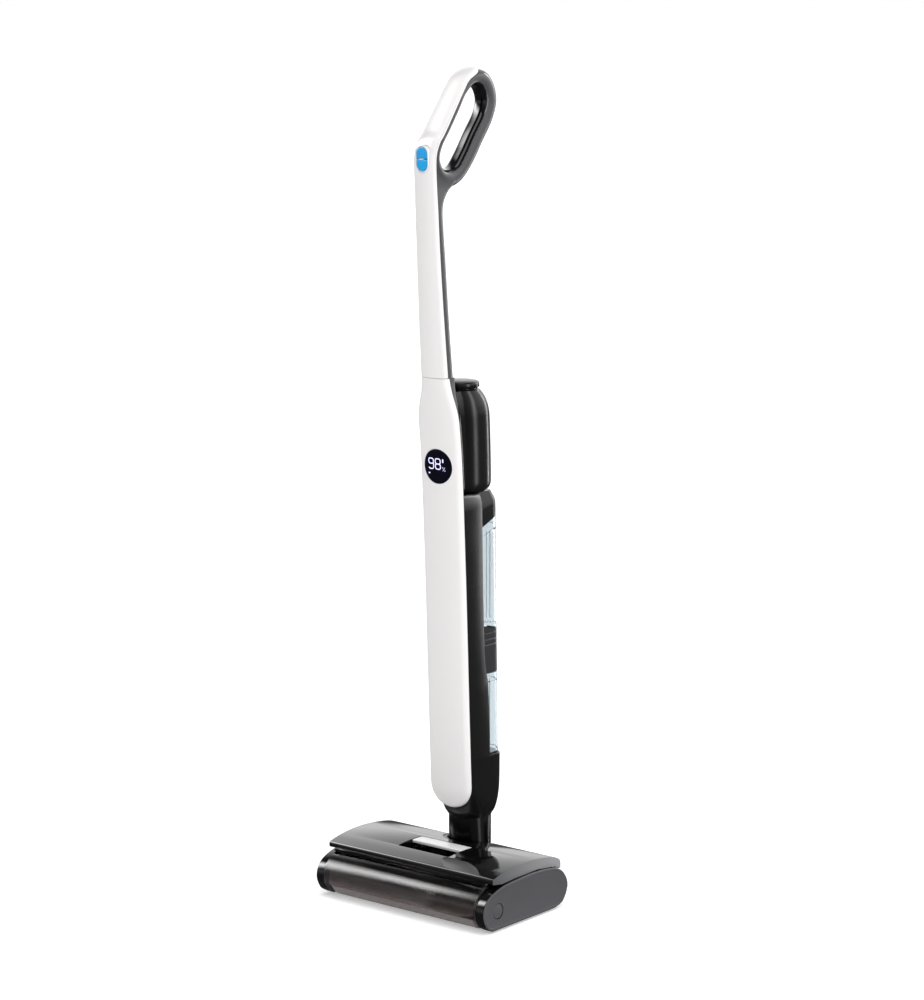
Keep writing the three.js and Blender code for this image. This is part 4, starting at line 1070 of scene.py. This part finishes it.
def roller_sleeve():
    """Short dense pile on a tube: tufts of uneven height, with a shallow spiral seam."""
    rings = []
    for x in evenly(-ROLLER_HALF, ROLLER_HALF, PILE_ROWS):
        end = min(1.0, (ROLLER_HALF - abs(x)) / 2.5)
        ring = []
        for side in range(PILE_SIDES):
            angle = 2 * math.pi * side / PILE_SIDES
            seed = Vector((x * 0.55, 14 * math.cos(angle), 14 * math.sin(angle)))
            fluff = TUFT * noise.noise(seed) + FLECK * noise.noise(seed * 2.3)
            seam = (x / (2 * ROLLER_HALF) * SEAM_TURNS + angle / (2 * math.pi)) % 1.0
            groove = SEAM_DEPTH * math.exp(-((min(seam, 1 - seam) / SEAM_WIDTH) ** 2))
            radius = ROLLER_R - 0.75 + fluff - groove - 1.6 * (1 - end) ** 2
            ring.append((x, ROLLER_Y + radius * math.cos(angle), ROLLER_Z + radius * math.sin(angle)))
        rings.append(ring)
    bore = arc((ROLLER_Y, ROLLER_Z), BORE_R, full_turn(PILE_SIDES))
    ends = [[(x, y, z) for y, z in bore] for x in (-ROLLER_HALF, ROLLER_HALF)]
    settle(loft("roller_pile", ends[:1] + rings + ends[1:], looped=True), "roller_sleeve", 60)


def wheel(node):
    """A small tyre with a groove round its middle and a hub that stands a little proud."""
    x = middle(node).x / MM
    half = [(0.3, 10.7), (0.5, 11), (2.9, 11), (3.7, 10.6), (4.1, 9.8), (4.1, 6.8), (4.5, 6.4), (4.5, 2.3)]
    profile = [(radius, x - out) for out, radius in reversed(half)]
    profile += [(radius, x + out) for out, radius in half]
    settle(turned(f"{node}_tyre", profile, (71, 11), "x", 64, looped=True), node, 50)


def cover_latch():
    """White push bar over a dark hook."""
    low, high = (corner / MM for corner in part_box("cover_latch"))
    front, back = low.y - HEAD_Y, high.y - HEAD_Y
    outline = [(front, 74), (back, 74), (back, high.z), (front, high.z)]
    obj = bevelled(extruded("cover_latch_bar", outline, low.x, high.x), 1.1, 40, 4)
    hook = extruded("latch_hook", [(-4, 65), (2, 65), (2, 74.5), (-4, 74.5)], -14, 14)
    bar_faces = len(obj.data.polygons)
    settle(gather(obj, hook), "cover_latch")
    repaint(obj, LOOKS["gloss_black"], lambda face: face.index >= bar_faces)


# ---- Everything ----
front_cover()
handle_cover()
half_key("power_button", 1)
half_key("mode_button", -1)
key_mark()
key_bezel()
display_lens()
figures()
handle_shell()
lower_housing()
main_housing()
slopes = (BAND_SLOPE, SHOULDER_SLOPE)
clear_tank("clean_tank_shell", "clean_tank", BAND_TOP + 5, UPPER_TANK_TOP, *slopes, TANK_FOOT)
clear_tank("dirty_tank_shell", "dirty_tank", BAY_BOTTOM + GAP, LOWER_TANK_TOP, 0, 0)
dirty_tank_lid()
clean_tank_lid()
pod_housing()
filter_cap()
end_cap("left_end_cap", -1)
end_cap("right_end_cap", 1)
release_button()
head_lid()
roller_cover()
roller_sleeve()
wheel("left_rear_wheel")
wheel("right_rear_wheel")
cover_latch()
for carried in ("tank_latch", "head_base"):
    refined(carried)
for carried in ("neck_yoke", "neck_bezel"):
    refined(carried, LOOKS["deep_black"])

for node, obj in frame["nodes"].items():
    if not obj.hide_render:
        obj.data.materials.clear()
        obj.data.materials.append(LOOKS[SLOT_OF[node]])
        shade(obj, 30)


# ---- Floor, light and camera ----
FLOOR_HALF = 400
VIEW_DOWN, VIEW_ROUND, LENS = 9.6, 39.13, 106.2  # degrees, degrees, mm
SUN_POWER, SUN_SPREAD = 0.95, 50
LIGHTS_AIM = Vector((0, 0, 0.6))
SKY_POWER = 0.72
# Brightness of the mirrored surroundings from straight down, at 0, to straight up, at 1.
SKY_STEPS = [(0.0, 0.05), (0.46, 0.09), (0.51, 0.4), (0.58, 0.55), (0.68, 0.22), (0.8, 0.08), (1.0, 0.08)]
SOFTBOX_LEAN = (0, 0.819, 0.574)


def floor():
    mesh = bpy.data.meshes.new("floor")
    corners = [(x * FLOOR_HALF, y * FLOOR_HALF, 0) for x, y in ((-1, -1), (1, -1), (1, 1), (-1, 1))]
    mesh.from_pydata(corners, [], [(0, 1, 2, 3)])
    obj = add_object("floor", mesh)
    tree, shader = blank("floor_paint")
    vary_colour(tree, shader, add_noise(tree, 3, 2), (0.90, 0.90, 0.90), (0.92, 0.92, 0.92))
    set_shader(shader, Roughness=0.9, Emission_Color=(1, 1, 1, 1), Emission_Strength=0.34)
    mesh.materials.append(LOOKS["floor_paint"])
    obj.visible_glossy = False


def area_light(name, spot, width, height, power):
    data = bpy.data.lights.new(name, "AREA")
    data.shape = "RECTANGLE"
    data.size, data.size_y = width, height
    data.energy = power
    lamp = add_object(name, data)
    lamp.visible_camera = False
    lamp.location = spot
    lamp.rotation_euler = (LIGHTS_AIM - Vector(spot)).to_track_quat("-Z", "Y").to_euler()


def combined(tree, operation, first, *others):
    """Adds or multiplies several values."""
    for other in others:
        both = tree.nodes.new("ShaderNodeMath")
        both.operation = operation
        tree.links.new(first, both.inputs[0])
        tree.links.new(other, both.inputs[1])
        first = both.outputs["Value"]
    return first


def sky_for_reflections(tree):
    """What polished faces mirror: a bright horizon, a long softbox in front on the left, and a backdrop."""
    place, parts = place_parts(tree, "Generated")
    ramp = add_node(tree, "ValToRGB", Fac=scaled(tree, parts["Z"], -1, 1, 0, 1))
    while len(ramp.color_ramp.elements) < len(SKY_STEPS):
        ramp.color_ramp.elements.new(0.5)
    for element, (position, value) in zip(ramp.color_ramp.elements, SKY_STEPS):
        element.position = position
        element.color = (value, value, value, 1)
    lean = tree.nodes.new("ShaderNodeVectorMath")
    lean.operation = "DOT_PRODUCT"
    lean.inputs[1].default_value = SOFTBOX_LEAN
    tree.links.new(place, lean.inputs[0])
    off_middle = tree.nodes.new("ShaderNodeMath")
    off_middle.operation = "ABSOLUTE"
    tree.links.new(lean.outputs["Value"], off_middle.inputs[0])

    def ramped(value, *ends):
        return scaled(tree, value, *ends, way="SMOOTHSTEP")

    across = ramped(off_middle.outputs["Value"], 0.0, 0.36, 11, 0)
    upward = ramped(parts["Z"], 0.02, 0.3, 0, 1)
    leftward = ramped(parts["X"], -0.1, -0.5, 0, 1)
    softbox = combined(tree, "MULTIPLY", across, upward, leftward)
    above = ramped(parts["Z"], -0.07, 0.0, 0, 1)
    taller = ramped(parts["Z"], 0.0, 0.35, 0.64, 1.2)
    below = ramped(parts["Z"], 0.6, 0.86, 1, 0)
    behind = ramped(parts["Y"], 0.1, 0.5, 0, 1)
    backdrop = combined(tree, "MULTIPLY", above, taller, below, behind)
    return combined(tree, "ADD", ramp.outputs["Color"], softbox, backdrop)


def chosen_by(tree, rays, kind, otherwise, chosen):
    """One background for rays of a kind, and another for the rest."""
    mix = tree.nodes.new("ShaderNodeMixShader")
    tree.links.new(rays.outputs[kind], mix.inputs["Fac"])
    tree.links.new(otherwise, mix.inputs[1])
    tree.links.new(chosen, mix.inputs[2])
    return mix.outputs["Shader"]


def studio():
    world = bpy.data.worlds.new("studio")
    bpy.context.scene.world = world
    world.use_nodes = True
    tree = world.node_tree
    around = tree.nodes["Background"]
    around.inputs["Color"].default_value = (1, 1, 1, 1)
    around.inputs["Strength"].default_value = SKY_POWER
    mirrored = add_node(tree, "Background", Color=sky_for_reflections(tree)).outputs["Background"]
    seen = add_node(tree, "Background", Color=(1, 1, 1, 1)).outputs["Background"]
    rays = add_node(tree, "LightPath")
    first = chosen_by(tree, rays, "Is Glossy Ray", around.outputs["Background"], mirrored)
    second = chosen_by(tree, rays, "Is Camera Ray", first, seen)
    tree.links.new(second, tree.nodes["World Output"].inputs["Surface"])
    sun = bpy.data.lights.new("overhead", "SUN")
    sun.energy = SUN_POWER
    sun.angle = math.radians(SUN_SPREAD)
    add_object("overhead", sun).rotation_euler = (math.radians(14), math.radians(10), 0)
    area_light("right_softbox", spot=(2.7, -0.05, 1.1), width=0.7, height=2.4, power=26)
    area_light("rear_strip", spot=(0.55, 2.3, 0.9), width=0.3, height=2.2, power=16)


def camera():
    data = bpy.data.cameras.new("camera")
    data.lens = LENS
    data.clip_end = 2000
    obj = add_object("camera", data)
    obj.location = (2.42375, -2.93371 + HEAD_Y * MM, 1.18745)
    obj.rotation_euler = (math.radians(90 - VIEW_DOWN), 0, math.radians(VIEW_ROUND))
    bpy.context.scene.camera = obj


floor()
studio()
camera()
bpy.context.scene.view_settings.view_transform = "Standard"
